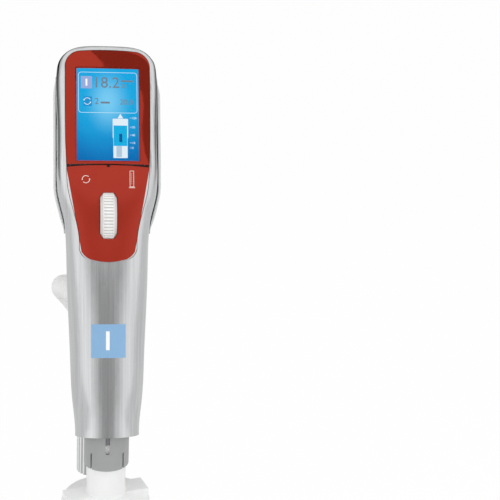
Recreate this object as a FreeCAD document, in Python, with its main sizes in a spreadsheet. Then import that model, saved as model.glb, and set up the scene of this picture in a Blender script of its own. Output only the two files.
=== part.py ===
import FreeCAD, Part
import math
import os
import Sketcher

from FreeCAD import Placement, Rotation, Vector

# Dispensing handset of a laboratory water system: a leaning handle with a display head, an upright nozzle
# with a push-on filter, and an upright hose inlet behind the handle.  Millimetres.
# +X is the handset's right as its user sees it, -Y the side of the display, +Z up.
# The origin is the middle of the dock pad's flat face, by which the handset hangs in its dock.

doc = FreeCAD.newDocument("Handset")
sheet = doc.addObject("Spreadsheet::Sheet", "Sizes")

# ---------------------------------------------------------------- driving sizes
SIZES = {
    # postures, degrees
    "lean": 18,                    # handle, back from upright
    "head_lean": 8,                # head, back from the handle
    # body, along its own axis
    "body_length": 314,
    "neck_low": 185,               # the bend between handle and head starts here
    "neck_high": 225,              # and ends here
    "foot_half_width": 25.8,
    "grip_half_width": 33.8,
    "grip_end": 164,
    "head_half_width": 40.5,
    "head_start": 202,
    "foot_front": 22.5,            # front depth from the parting plane, at the foot
    "head_front": 19.5,
    "foot_rear": 30,
    "grip_rear": 25,
    "head_rear": 18,
    "front_blend": 100,            # the front's depth starts to change here
    "rear_blend": 110,             # the foot's rear depth ends here
    "head_blend": 260,             # the head's rear depth starts here
    "squareness_blend": 80,        # the outline starts to square up here
    "foot_squareness": 0.56,       # 0.55 is an ellipse, 1 a rectangle
    "head_squareness": 0.84,
    "crown_radius": 18,            # top corners, seen from the front
    "crown_front": 5,
    "crown_rear": 9,
    "wall": 2.6,
    "parting_gap": 0.1,
    "wall_root": 0.5,              # of bosses, ribs and posts, inside the wall
    # fascia
    "fascia_drop": 5,              # below the body's top
    "fascia_foot": 139.8,
    "fascia_margin": 6.2,
    "fascia_margin_growth": 0.045,
    "fascia_margin_high": 240,     # the margin grows downwards from here
    "fascia_corner": 13,
    "fascia_top_bow": 0.7,
    "fascia_foot_rise": 11,        # of the straight sides, above the fascia's foot
    "fascia_turn_rise": 4.6,       # of the foot's corners, at turn_share of its half width
    "fascia_turn_share": 0.86,
    "fascia_foot_bow": 1.7,        # of the foot's arc, at foot_share of its half width
    "fascia_foot_share": 0.56,
    "fascia_thickness": 2.4,
    "fascia_gap": 0.4,
    "gasket_thickness": 1.1,
    "ledge_width": 3,
    "ledge_thickness": 1.8,
    "seam": 216,
    "seam_gap": 0.8,
    "seam_land": 0.2,              # of the bar under the seam, past the seam's gap
    "window_width": 51.7,
    "window_rise": 1.9,            # above the seam
    "window_drop": 18.8,           # below the body's top
    "window_step": 1.0,
    "window_gap": 0.1,
    "lens_thickness": 1.4,
    "bridge_height": 5.5,
    "bridge_depth": 9,
    "bridge_root": 1,              # past the fascia's outline
    # thumb wheel
    "wheel_radius": 23,
    "wheel_width": 13,
    "wheel_chamfer": 2.7,
    "wheel_chamfer_depth": 3,
    "wheel_place": 176.6,
    "wheel_sink": 14.8,            # axle below the panel's face
    "wheel_slot_length": 35,
    "wheel_slot_gap": 0.5,
    "wheel_rib_pitch": 2.7,
    "wheel_rib_width": 1.3,
    "wheel_rib_depth": 0.8,
    "axle_radius": 2,
    "axle_stand": 0.6,             # past each cheek
    "running_gap": 0.05,
    "cheek_gap": 0.5,
    "cheek_thickness": 2,
    "carrier_front": 6,            # before the axle
    "carrier_half_height": 13,
    "carrier_back_gap": 0.8,       # behind the wheel
    "carrier_rib_half_width": 6,
    "carrier_rib_place": 9,
    "sensor_near": 4,
    "sensor_far": 14,
    "sensor_half_height": 8,
    "sensor_thickness": 1.6,
    "sensor_chip_near": 6,
    "sensor_chip_far": 11,
    "sensor_chip_half": 2.5,
    "sensor_chip_height": 1.2,
    # rocking panel
    "pivot_depth": 13,
    "pivot_radius": 1.5,
    "ear_half_width": 4,
    "ear_length": 4,
    "ear_rise": 11,                # lower ear, above the fascia's foot
    "ear_drop": 12,                # upper ear, below the seam
    "ear_root": 1.2,               # inside the panel's face
    "pivot_boss_reach": 9.5,       # the shell's boss, below the lower ear
    "pivot_boss_gap": 3,
    "pivot_web_root": 3.2,
    "pin_seat": 8,                 # depth of the pin below the lower ear
    "pin_stand": 1,
    # side rails
    "rail_low": 166,
    "rail_drop": 27,               # upper end, below the body's top
    "rail_thickness": 2.6,
    "rail_depth": 8,
    "rail_gap": 1.0,
    "rail_back": 5,                # behind the parting plane
    "rail_post_radius": 2.6,
    "rail_post_rise": 22,
    "rail_post_drop": 14,
    "rail_screw_radius": 1.2,
    "rail_screw_hold": 1.6,        # of the screw's end, inside the rail
    "rail_tuck": 0.55,             # of the lower end, towards the body
    "rail_tuck_length": 30,
    # nozzle, in its own upright frame
    "nozzle_back": 6,              # nozzle axis behind the handle's axis at the foot
    "collar_radius": 18.25,
    "collar_wall": 1.95,
    "collar_top": 4,
    "collar_rim": -27.2,
    "collar_gap": 0.35,
    "pocket_ceiling": 16,
    "slot_width": 3.4,
    "slot_foot": -12.5,
    "slit_width": 1.8,
    "slit_top": -13,
    "key_width": 2.8,
    "key_foot": -3.6,
    "key_inset": 0.2,              # from the collar's outside
    "key_drop": 0.5,               # from the collar's top
    "guide_gap": 0.3,
    "guide_wall": 3,
    "base_height": 23,
    "base_start": 1.5,
    "base_gap": 0.15,
    "spring_gap": 0.05,
    "spring_wire": 1.2,
    "spring_turns": 3.5,
    "spigot_radius": 8,
    "spigot_bore": 4,
    "spigot_foot": -26,
    "spigot_head": 28,
    "spigot_flange": 3,
    "spigot_flange_height": 2,
    "spigot_roof": 4,
    "barb_bore": 1.2,
    "barb_radius": 2.2,
    "barb_length": 10,
    "ring_wire": 0.9,
    "ring_gap": 0.05,
    "ring_side_gap": 0.15,
    "ring_high": -12,
    "ring_low": -19,
    # filter
    "filter_neck_radius": 15.9,
    "filter_neck_top": -5,
    "filter_shoulder": -53,
    "filter_shoulder_drop": 4.5,
    "filter_neck_fillet": 3,
    "filter_radius": 36.5,
    "filter_edge": 7,
    "filter_seam": -92,
    "filter_foot": -124,
    "filter_wall": 2.5,
    "filter_flange": 1.6,
    "filter_flange_height": 2.5,
    "filter_roof": 1.5,            # of the roof's inside, below the wall
    "filter_roof_inset": 4,
    "filter_roof_edge": 1.2,
    "filter_cone": 12,
    "filter_cone_fillet": 5,
    "filter_bore_gap": 0.2,
    "filter_bar_half_width": 10,
    "filter_bar_top": -52.7,
    "filter_bar_reach": 34,
    "filter_bar_turn": 16,
    "filter_bar_thickness": 7,
    "disc_radius": 31,
    "disc_thickness": 2.2,
    "disc_low": -107,
    "disc_pitch": 8.5,
    "disc_count": 5,
    "core_radius": 7,
    "core_wall": 2,
    "outlet_radius": 5,
    "outlet_bore": 2.6,
    "outlet_length": 20,
    "outlet_flare": 5,
    # hose inlet, in its own upright frame
    "inlet_side": -6.5,
    "inlet_back": 64,
    "sleeve_radius": 16,
    "sleeve_foot": -63,
    "sleeve_top": 14,
    "flute_radius": 1.15,
    "flute_stand": 0.3,            # of a flute's middle, outside the sleeve
    "flute_count": 26,
    "union_radius": 11,
    "union_recess": 3,             # the union's foot, inside the sleeve
    "union_bore": 5,
    "union_plug": 9,               # closed length at the union's foot
    "stub_radius": 5,
    "stub_bore": 1.4,
    "stub_gap": 0.1,
    "stub_height": 22,
    "stub_reach": 32,
    "union_top": 28,
    "hose_nut_radius": 14,
    "hose_nut_bore": 6,
    "hose_nut_height": 7,
    "hose_nut_chamfer": 2,
    "hose_nut_grips": 12,
    "grip_radius": 2,
    "grip_stand": 1.2,             # of a grip's middle, outside the nut
    "hose_radius": 10.5,
    "hose_bore": 8.5,
    "ferrule_radius": 12.5,
    "ferrule_length": 16,
    "ferrule_bore": 5,
    "ferrule_chamfer": 1.5,
    "connector_radius": 9,
    "connector_length": 22,
    "connector_bore": 3,
    "connector_collar": 1.5,
    "connector_collar_height": 8,
    "seal_squeeze": 0.35,          # of the O-ring's seat, outwards
    "seal_place": 17,              # the connector's O-ring, below the ferrule
    "nose_radius": 7,
    "nose_length": 8,
    # valve and tubes inside the handle
    "valve_width": 24,
    "valve_front": 13,
    "valve_back": 12,
    "valve_low": 56,
    "valve_high": 84,
    "valve_rib_half_width": 8,
    "rib_inset": 6,                # of the ribs behind the valve, from its ends
    "rib_thickness": 2,
    "inlet_port_side": -6.5,
    "inlet_port_back": 9,
    "outlet_port_back": -8,
    "port_bore": 1.2,
    "coil_radius": 12,
    "coil_length": 32,
    "coil_tab_half_width": 4,
    "coil_tab_half_thickness": 1,
    "coil_tab_height": 5,
    "tube_radius": 3.2,
    "tube_bend": 5.5,
    "outlet_bend": 20,
    # head electronics, in the head's frame
    "display_width": 56,
    "display_edge": 0.5,           # past the window's lower edge
    "display_edge_high": 2.2,      # past its upper edge
    "display_thickness": 4,
    "display_depth": 14.3,
    "leg_width": 5,
    "leg_inset": 1,                # from the board's side and the display's foot
    "leg_drop": 12,                # of the upper legs, below the board's top
    "board_width": 50,
    "board_rise": 2.8,             # past the window's upper edge
    "board_thickness": 1.6,
    "board_depth": 7,
    "post_radius": 2.6,
    "post_side": 20,
    "post_low": 6,
    "post_high": 62,
    "switch_side": 18,
    "switch_drop": 10,             # below the seam
    "switch_edge": 5.2,            # from a switch's middle to the board's edge
    "switch_width": 6,
    "switch_height": 4,
    "plunger_radius": 1.2,
    "plunger_gap": 0.7,
    "ribbon_width": 20,
    "ribbon_thickness": 0.3,
    "ribbon_rise": 7.6,            # the ribbon's bend, above the display's lower edge
    "ribbon_arm": 8,
    "label_half_width": 13.7,
    "label_low": 63.9,
    "label_high": 90.7,
    "label_thickness": 0.2,
    # dock pad, in the head's frame
    "dock_width": 40,
    "dock_height": 44,
    "dock_low": 2,
    "dock_boss": 5,
    "dock_chamfer": 2,
    "dock_corner": 5,
    # fasteners
    "low_screw_side": 18,
    "low_screw_drop": 11.8,        # below the fascia's foot
    "high_screw_side": 34.2,
    "high_screw_drop": 64,         # below the body's top
    "screw_radius": 1.5,
    "screw_gap": 0.15,
    "screw_head_gap": 0.2,
    "screw_hole_past": 0.5,        # of the hole, past the screw's end
    "screw_head_radius": 2.8,
    "screw_head_height": 1.8,
    "screw_seat": 8,               # under the heads, behind the parting plane
    "screw_reach": 8.5,            # in front of the parting plane
    "screw_drive_radius": 1.2,
    "screw_drive_depth": 1.2,
    "boss_radius": 4.4,
}
for row, (alias, number) in enumerate(SIZES.items(), start=1):
    sheet.set("A%d" % row, alias)
    sheet.set("B%d" % row, str(number))
    sheet.setAlias("B%d" % row, alias)
doc.recompute()


class Size:
    """A size: its number, and the expression that ties a feature to the sheet."""

    def __init__(self, number, text):
        self.number = number
        self.text = text

    @staticmethod
    def of(value):
        return value if isinstance(value, Size) else Size(value, repr(value))

    def __add__(self, other):
        other = Size.of(other)
        return Size(self.number + other.number, "(%s + %s)" % (self.text, other.text))

    def __sub__(self, other):
        other = Size.of(other)
        return Size(self.number - other.number, "(%s - %s)" % (self.text, other.text))

    def __mul__(self, other):
        other = Size.of(other)
        return Size(self.number * other.number, "(%s * %s)" % (self.text, other.text))

    def __truediv__(self, other):
        other = Size.of(other)
        return Size(self.number / other.number, "(%s / %s)" % (self.text, other.text))

    def __neg__(self):
        return Size(-self.number, "(0 - %s)" % self.text)

    def __radd__(self, other):
        return Size.of(other) + self

    def __rsub__(self, other):
        return Size.of(other) - self

    def __rmul__(self, other):
        return Size.of(other) * self

    def __float__(self):
        return float(self.number)


class Sheet:
    """The sheet's cells as Size objects, by their aliases."""

    def __getattr__(self, alias):
        return Size(float(sheet.get(alias)), "Sizes." + alias)


S = Sheet()


def num(value):
    return float(value)


# ---------------------------------------------------------------- frames
LEAN = num(S.lean)
BEND = math.radians(num(S.head_lean))
BEND_RADIUS = (num(S.neck_high) - num(S.neck_low)) / BEND


def spine(along):
    """Depth, height and tilt (radians) of the body's axis in the handle frame, at a length along it."""
    low = num(S.neck_low)
    if along <= low:
        return 0.0, along, 0.0
    tilt = min((along - low) / BEND_RADIUS, BEND)
    depth = BEND_RADIUS * (1 - math.cos(tilt))
    height = low + BEND_RADIUS * math.sin(tilt)
    rest = max(along - num(S.neck_high), 0.0)
    return depth + rest * math.sin(tilt), height + rest * math.cos(tilt), tilt


def in_handle(side, deep, along):
    """A point of the handle frame: to the side, deep behind the axis, along the axis."""
    depth, height, tilt = spine(along)
    return Vector(side, depth + deep * math.cos(tilt), height - deep * math.sin(tilt))


HEAD_DEPTH, HEAD_HEIGHT, HEAD_TILT = spine(num(S.neck_high))
HANDLE_TURN = Rotation(Vector(1, 0, 0), -LEAN)
HEAD_TURN = Rotation(Vector(1, 0, 0), -LEAN - math.degrees(HEAD_TILT))
DOCK_DEPTH = S.head_rear + S.dock_boss
dock_middle = Vector(0, num(DOCK_DEPTH), num(S.dock_low + S.dock_height / 2))
head_base = HANDLE_TURN.multVec(Vector(0, HEAD_DEPTH, HEAD_HEIGHT))
foot = -(head_base + HEAD_TURN.multVec(dock_middle))

HANDLE = Placement(foot, HANDLE_TURN)
HEAD = Placement(foot + head_base, HEAD_TURN)
NOZZLE = Placement(foot + Vector(0, num(S.nozzle_back), 0), Rotation())
INLET = Placement(foot + Vector(num(S.inlet_side), num(S.inlet_back), 0), Rotation())
FILTER = Placement(NOZZLE.Base, Rotation(Vector(0, 0, 1), num(S.filter_bar_turn)))


# ---------------------------------------------------------------- feature helpers
def new_body(name, placement):
    body = doc.addObject("PartDesign::Body", name)
    body.Label = name
    body.Placement = placement
    return body


def tie(thing, prop, value):
    """Binds a property to its expression, and leaves a bare number as it is."""
    if isinstance(value, Size):
        thing.setExpression(prop, value.text)
    else:
        setattr(thing, prop, value)


def origin_plane(body, role):
    return [f for f in body.Origin.OriginFeatures if f.Role == role][0]


def new_sketch(body, name, plane, offset=0):
    sketch = body.newObject("Sketcher::SketchObject", name)
    sketch.AttachmentSupport = [(origin_plane(body, plane), "")]
    sketch.MapMode = "FlatFace"
    if isinstance(offset, Size):
        sketch.AttachmentOffset = Placement(Vector(0, 0, num(offset)), Rotation())
        sketch.setExpression("AttachmentOffset.Base.z", offset.text)
    elif offset:
        sketch.AttachmentOffset = Placement(Vector(0, 0, offset), Rotation())
    return sketch


def place(sketch, kind, geometry, point, value):
    """Ties one coordinate of a sketch point to a size."""
    value = Size.of(value)
    if abs(value.number) < 1e-9:
        axis = -2 if kind == "DistanceX" else -1
        sketch.addConstraint(Sketcher.Constraint("PointOnObject", geometry, point, axis))
        return
    index = sketch.addConstraint(Sketcher.Constraint(kind, -1, 1, geometry, point, value.number))
    sketch.setExpression("Constraints[%d]" % index, value.text)


def polygon(body, name, points, plane="XZ_Plane", offset=0):
    """A closed outline of straight lines through sized points."""
    sketch = new_sketch(body, name, plane, offset)
    corners = [Vector(num(x), num(y), 0) for x, y in points]
    count = len(corners)
    for i in range(count):
        sketch.addGeometry(Part.LineSegment(corners[i], corners[(i + 1) % count]), False)
    for i in range(count):
        sketch.addConstraint(Sketcher.Constraint("Coincident", i, 2, (i + 1) % count, 1))
    for i, (x, y) in enumerate(points):
        place(sketch, "DistanceX", i, 1, x)
        place(sketch, "DistanceY", i, 1, y)
    return sketch


def rectangle(body, name, left, right, low, high, plane="XZ_Plane", offset=0):
    return polygon(body, name, [(left, low), (right, low), (right, high), (left, high)], plane, offset)


def circles(body, name, discs, plane="XY_Plane", offset=0):
    """Circles given as (x, y, radius)."""
    sketch = new_sketch(body, name, plane, offset)
    for i, (x, y, radius) in enumerate(discs):
        sketch.addGeometry(Part.Circle(Vector(num(x), num(y), 0), Vector(0, 0, 1), num(radius)), False)
        place(sketch, "DistanceX", i, 3, x)
        place(sketch, "DistanceY", i, 3, y)
        index = sketch.addConstraint(Sketcher.Constraint("Radius", i, num(radius)))
        sketch.setExpression("Constraints[%d]" % index, Size.of(radius).text)
    return sketch


def revolve(body, sketch, kind="Revolution", axis="V_Axis"):
    feature = body.newObject("PartDesign::" + kind, sketch.Name + "_turned")
    feature.Profile = sketch
    feature.ReferenceAxis = (sketch, [axis])
    feature.Angle = 360
    return feature


def pad(body, sketch, length, reverse=False, symmetric=False):
    feature = body.newObject("PartDesign::Pad", sketch.Name + "_pad")
    feature.Profile = sketch
    feature.SideType = "Symmetric" if symmetric else "One side"
    feature.Reversed = reverse
    tie(feature, "Length", length)
    return feature


def pocket(body, sketch, length, reverse=False, symmetric=False):
    feature = body.newObject("PartDesign::Pocket", sketch.Name + "_cut")
    feature.Profile = sketch
    feature.SideType = "Symmetric" if symmetric else "One side"
    feature.Reversed = reverse
    tie(feature, "Length", length)
    return feature


def polar(body, feature, count):
    """Copies one feature round the body's Z axis."""
    pattern = body.newObject("PartDesign::PolarPattern", feature.Name + "_round")
    pattern.Originals = [feature]
    pattern.Axis = (feature.Profile[0], ["N_Axis"])
    pattern.Angle = 360
    tie(pattern, "Occurrences", count)
    body.Tip = pattern
    return pattern


def rounded(body, kind, amount, wanted):
    """A Fillet or Chamfer on the edges of the body's present shape that the test picks."""
    doc.recompute()
    base = body.Tip
    names = []
    for i, edge in enumerate(base.Shape.Edges, start=1):
        if wanted(edge):
            names.append("Edge%d" % i)
    feature = body.newObject("PartDesign::" + kind, "%s_%s" % (body.Name, kind.lower()))
    feature.Base = (base, names)
    tie(feature, "Radius" if kind == "Fillet" else "Size", amount)
    body.Tip = feature
    return feature


def ring_edge(radius, height):
    """Picks the circle round Z of a radius at a height."""
    def wanted(edge):
        curve = edge.Curve
        return (isinstance(curve, Part.Circle) and abs(curve.Radius - num(radius)) < 1e-3
                and abs(curve.Center.z - num(height)) < 1e-3)
    return wanted


def deep_edge(edge):
    """Picks straight edges along Y."""
    return isinstance(edge.Curve, Part.Line) and abs(edge.tangentAt(edge.FirstParameter).y) > 0.999


def new_part(name, shape, placement):
    """A free-form or generated piece whose sizes are read from the sheet above."""
    part = doc.addObject("Part::Feature", name)
    part.Label = name
    part.Shape = shape
    part.Placement = placement
    return part


# ---------------------------------------------------------------- body form
def ease(value, start, end):
    """0 before start, 1 after end, smooth between."""
    share = min(max((value - start) / (end - start), 0.0), 1.0)
    return share * share * (3 - 2 * share)


def half_width(along):
    """Half the body's width at the parting plane."""
    grip = num(S.grip_end)
    share = max(min(along / grip, 1.0), 0.0) ** 0.7
    width = num(S.foot_half_width) + (num(S.grip_half_width) - num(S.foot_half_width)) * share
    return width + (num(S.head_half_width) - width) * ease(along, grip, num(S.head_start))


def front_depth(along):
    step = num(S.head_front) - num(S.foot_front)
    return num(S.foot_front) + step * ease(along, num(S.front_blend), num(S.neck_high))


def rear_depth(along):
    grip = num(S.foot_rear) + (num(S.grip_rear) - num(S.foot_rear)) * ease(along, 0, num(S.rear_blend))
    return grip + (num(S.head_rear) - grip) * ease(along, num(S.grip_end), num(S.head_blend))


def squareness(along):
    low = num(S.foot_squareness)
    return low + (num(S.head_squareness) - low) * ease(along, num(S.squareness_blend), num(S.neck_high))


def section(along, side, front, rear, bow):
    """A closed outline of four Bezier quarters across the body's axis."""
    quarters = []
    for across, deep in ((1, -1), (-1, -1), (-1, 1), (1, 1)):
        depth = front if deep < 0 else rear
        near = (across * side, 0.0)
        far = (0.0, deep * depth)
        points = [near, (across * side, bow * deep * depth), (bow * across * side, deep * depth), far]
        if across * deep > 0:
            points.reverse()
        curve = Part.BezierCurve()
        curve.setPoles([in_handle(x, d, along) for x, d in points])
        quarters.append(curve.toShape())
    return Part.Wire(quarters)


def crown_stations(top):
    """Lengths along the axis and shares of the crown's rounding, up to the flat top."""
    radius = num(S.crown_radius)
    for angle in (0, 22, 44, 62, 78, 90):
        turn = math.radians(angle)
        yield top - radius * (1 - math.sin(turn)), 1 - math.cos(turn)


def body_form(side_inset=0.0, front_inset=0.0, rear_inset=0.0, low=0.0):
    """The body's outer form, or the same form inside it by the given insets."""
    top = num(S.body_length) - max(side_inset, front_inset * 0.7)
    wires = []
    crown = list(crown_stations(top))
    steps = [0, 30, 60, 95, 130, num(S.grip_end), 176, 189, num(S.head_start), num(S.neck_high), 255]
    steps = [low] + [s for s in steps if s > low + 5 and s < crown[0][0] - 8]
    for along in steps:
        wires.append(section(along, half_width(along) - side_inset, front_depth(along) - front_inset,
                             rear_depth(along) - rear_inset, squareness(along)))
    for along, share in crown:
        wires.append(section(along, half_width(along) - side_inset - num(S.crown_radius) * share,
                             front_depth(along) - front_inset - num(S.crown_front) * share,
                             rear_depth(along) - rear_inset - num(S.crown_rear) * share,
                             squareness(along)))
    return Part.makeLoft(wires, True, False)


REACH = 70.0


def profile_slab(points):
    """A slab across the whole width, from an outline of (depth, height) points in the handle frame."""
    corners = [Vector(-REACH, d, h) for d, h in points]
    face = Part.Face(Part.makePolygon(corners + corners[:1]))
    return face.extrude(Vector(2 * REACH, 0, 0))


def axis_slab(low, high, near, far):
    """A slab that follows the body's axis from low to high, between two depths from it."""
    bend_length = num(S.neck_high - S.neck_low)
    bend_steps = [num(S.neck_low) + bend_length * i / 4 for i in range(5)]
    steps = [low] + [s for s in bend_steps if low < s < high] + [high]
    front = [in_handle(0, near, s) for s in steps]
    rear = [in_handle(0, far, s) for s in reversed(steps)]
    return profile_slab([(p.y, p.z) for p in front + rear])


def front_height(along):
    """Height, in the handle frame, of the front face's middle at a length along the axis."""
    return in_handle(0, -front_depth(along), along).z


def fascia_half_width(along, inset):
    growth = num(S.fascia_margin_growth) * max(num(S.fascia_margin_high) - along, 0.0)
    return half_width(along) - num(S.fascia_margin) - growth - inset


def fascia_prism(inset):
    """The fascia's outline, drawn on the handle's front and carried through to the axis."""
    corner = num(S.fascia_corner) - inset
    top = num(S.body_length - S.fascia_drop) - inset
    foot_along = num(S.fascia_foot) + inset
    side_top = top - corner
    side_low = foot_along + num(S.fascia_foot_rise)
    steps = [side_low + (side_top - side_low) * i / 9 for i in range(10)]
    right = [Vector(fascia_half_width(s, inset), -REACH, front_height(s)) for s in steps]
    left = [Vector(-p.x, p.y, p.z) for p in right]

    def spline(points):
        curve = Part.BSplineCurve()
        curve.interpolate(points)
        return curve.toShape()

    def arc(a, b, c):
        return Part.Arc(a, b, c).toShape()

    def at(x, along):
        return Vector(x, -REACH, front_height(along))

    slope = 1 - math.sqrt(0.5)
    half_top = fascia_half_width(side_top, inset)
    inner_top = half_top - corner
    half_low = fascia_half_width(side_low, inset)
    turn_side = half_low * num(S.fascia_turn_share)
    turn_along = foot_along + num(S.fascia_turn_rise)
    low_right = at(half_low * num(S.fascia_foot_share), foot_along + num(S.fascia_foot_bow))
    low_left = Vector(-low_right.x, low_right.y, low_right.z)
    top_right = at(inner_top, top)
    top_left = at(-inner_top, top)
    edges = [
        spline(right),
        arc(right[-1], at(half_top - corner * slope, top - corner * slope), top_right),
        arc(top_right, at(0, top + num(S.fascia_top_bow)), top_left),
        arc(top_left, at(-half_top + corner * slope, top - corner * slope), left[-1]),
        spline(list(reversed(left))),
        arc(left[0], at(-turn_side, turn_along), low_left),
        arc(low_left, at(0, foot_along), low_right),
        arc(low_right, at(turn_side, turn_along), right[0]),
    ]
    face = Part.Face(Part.Wire(edges))
    return face.extrude(Vector(0, REACH + 20, 0))


def block(x0, x1, y0, y1, z0, z1):
    return Part.makeBox(x1 - x0, y1 - y0, z1 - z0, Vector(x0, y0, z0))


def rod(radius, start, end):
    """A round bar between two points."""
    direction = end - start
    return Part.makeCylinder(radius, direction.Length, start, direction)


outer = body_form()
gap = num(S.fascia_gap)
plate_inset = num(S.fascia_thickness)
bed_inset = plate_inset + num(S.gasket_thickness)
front_inset = bed_inset + num(S.ledge_thickness)
wall = num(S.wall)
plate_form = body_form(plate_inset, plate_inset, plate_inset)
bed_form = body_form(bed_inset, bed_inset, bed_inset)
cavity = body_form(wall, front_inset, wall, low=-1.0)
lens_form = body_form(num(S.lens_thickness), num(S.lens_thickness), num(S.lens_thickness))

top_end = num(S.body_length) + 10
front_zone = axis_slab(-30, top_end, -REACH, -num(S.parting_gap) / 2)
rear_zone = axis_slab(-30, top_end, num(S.parting_gap) / 2, REACH)
seam = num(S.seam)
seam_half = num(S.seam_gap) / 2
above_seam = axis_slab(seam + seam_half, top_end, -REACH, 0)
below_seam = axis_slab(60, seam - seam_half, -REACH, 0)
bridge_high = seam + seam_half + num(S.seam_land)
bridge_zone = axis_slab(bridge_high - num(S.bridge_height), bridge_high, -REACH, -num(S.bridge_depth))

# ---------------------------------------------------------------- wheel slot and pivots
WHEEL_DEPTH = num(S.wheel_sink) - front_depth(num(S.wheel_place))
WHEEL = HANDLE.multiply(Placement(Vector(0, WHEEL_DEPTH, num(S.wheel_place)), Rotation()))


def wheel_slot_prism():
    """The long octagonal slot for the wheel, through the panel."""
    side = num(S.wheel_width / 2 + S.wheel_slot_gap)
    corner = num(S.wheel_chamfer)
    half = num(S.wheel_slot_length / 2 + S.wheel_slot_gap)
    middle = front_height(num(S.wheel_place))
    outline = [(-side, -half + corner * 1.5), (-side + corner, -half), (side - corner, -half),
               (side, -half + corner * 1.5), (side, half - corner * 1.5), (side - corner, half),
               (-side + corner, half), (-side, half - corner * 1.5)]
    points = [Vector(x, -REACH, middle + z) for x, z in outline]
    return Part.Face(Part.makePolygon(points + points[:1])).extrude(Vector(0, REACH, 0))


def wheel_room():
    """The wheel's own form, larger by the slot's gap all round."""
    side = num(S.wheel_width / 2 + S.wheel_slot_gap)
    flat = side - num(S.wheel_chamfer)
    reach = num(S.wheel_radius + S.wheel_slot_gap)
    edge = reach - num(S.wheel_chamfer_depth)
    outline = [(-side, 0), (-side, edge), (-flat, reach), (flat, reach), (side, edge), (side, 0)]
    points = [Vector(x, WHEEL_DEPTH - r, num(S.wheel_place)) for x, r in outline]
    middle = Vector(0, WHEEL_DEPTH, num(S.wheel_place))
    return Part.Face(Part.makePolygon(points + points[:1])).revolve(middle, Vector(1, 0, 0), 360)


pivot_v = -num(S.pivot_depth)
pivot_radius = num(S.pivot_radius)
low_ear = num(S.fascia_foot + S.ear_rise)
high_ear = num(S.seam - S.ear_drop)
ear = num(S.ear_half_width)
ear_length = num(S.ear_length)
boss_low = low_ear - num(S.pivot_boss_reach)
boss_high = low_ear - num(S.pivot_boss_gap)
pin_foot = low_ear - num(S.pin_seat)
pin_head = bridge_high - num(S.pin_stand)

# ---------------------------------------------------------------- front shell
inner_prism = fascia_prism(num(S.ledge_width))
recess = fascia_prism(0.0).cut(bed_form)
opening = inner_prism.cut(bridge_zone)
front_skin = outer.common(front_zone)
front_body = front_skin.cut(cavity)
bridge_bar = bed_form.common(bridge_zone).common(fascia_prism(-num(S.bridge_root)))
front_body = front_body.fuse(bridge_bar)
low_boss = rod(ear, Vector(0, pivot_v, boss_low), Vector(0, pivot_v, boss_high))
web_front = -front_depth(low_ear) + plate_inset + num(S.pivot_web_root)
low_web = block(-ear, ear, web_front, pivot_v, boss_low, boss_high)
front_body = front_body.cut(recess).cut(opening)
front_body = front_body.fuse(low_boss.fuse(low_web).common(bed_form))
pin_low_hole = rod(pivot_radius, Vector(0, pivot_v, pin_foot), Vector(0, pivot_v, low_ear))
pin_high_hole = rod(pivot_radius, Vector(0, pivot_v, high_ear), Vector(0, pivot_v, pin_head))
front_body = front_body.cut(pin_low_hole).cut(pin_high_hole)

SCREWS = [(hand * num(side), num(along)) for side, along in (
    (S.low_screw_side, S.fascia_foot - S.low_screw_drop),
    (S.high_screw_side, S.body_length - S.high_screw_drop),
) for hand in (1, -1)]


def across(side, near, far, along, radius):
    """A round bar through the depth of the body at a place beside its axis."""
    return rod(radius, in_handle(side, near, along), in_handle(side, far, along))


front_bosses = None
rear_bosses = None
for side, along in SCREWS:
    stand = num(S.boss_radius)
    near = across(side, -REACH, -num(S.parting_gap) / 2, along, stand)
    far = across(side, num(S.parting_gap) / 2, REACH, along, stand)
    front_bosses = near if front_bosses is None else front_bosses.fuse(near)
    rear_bosses = far if rear_bosses is None else rear_bosses.fuse(far)
root = num(S.wall_root)
core_form = body_form(wall - root, front_inset - root, wall - root, low=-1.0)
front_bosses = front_bosses.common(core_form)
front_body = front_body.fuse(front_bosses.cut(inner_prism).cut(recess))
screw = num(S.screw_radius)
for side, along in SCREWS:
    front_body = front_body.cut(across(side, -num(S.screw_reach + S.screw_hole_past), 1.0, along, screw))
new_part("front_shell", front_body.removeSplitter(), HANDLE)

# ---------------------------------------------------------------- rear shell
rear_body = outer.common(rear_zone).cut(cavity).fuse(rear_bosses.common(core_form))
boss_height = num(S.dock_boss)
dock_half = num(S.dock_width) / 2
dock_base = num(S.dock_low)
dock_face = num(S.head_rear) + boss_height
dock_pad = block(-dock_half, dock_half, 0, dock_face, dock_base, dock_base + num(S.dock_height))
face_edges = [e for e in dock_pad.Edges if e.BoundBox.YMin > num(S.head_rear)]
dock_pad = dock_pad.makeChamfer(num(S.dock_chamfer), face_edges)
dock_pad = dock_pad.makeFillet(num(S.dock_corner), [e for e in dock_pad.Edges if deep_edge(e)])
dock_pad.Placement = HANDLE.inverse().multiply(HEAD)
rear_body = rear_body.fuse(dock_pad.cut(core_form))
carrier_back = S.wheel_radius + S.carrier_back_gap
carrier_rear = carrier_back + S.cheek_thickness
wheel_middle = num(S.wheel_place)
rib_place = num(S.carrier_rib_place)
valve_rib_place = num((S.valve_high - S.valve_low) / 2 - S.rib_inset)
valve_middle = num((S.valve_high + S.valve_low) / 2)
RIBS = [(num(S.carrier_rib_half_width), WHEEL_DEPTH + num(carrier_rear), wheel_middle + z)
        for z in (-rib_place, rib_place)]
RIBS += [(num(S.valve_rib_half_width), num(S.valve_back), valve_middle + z)
         for z in (-valve_rib_place, valve_rib_place)]
rib_half = num(S.rib_thickness) / 2
for half, near, along in RIBS:
    rib = block(-half, half, near, REACH, along - rib_half, along + rib_half)
    rear_body = rear_body.fuse(rib.common(core_form))
post = num(S.post_radius)
board_back = -num(S.board_depth) + num(S.board_thickness)
post_side = num(S.post_side)
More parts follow.
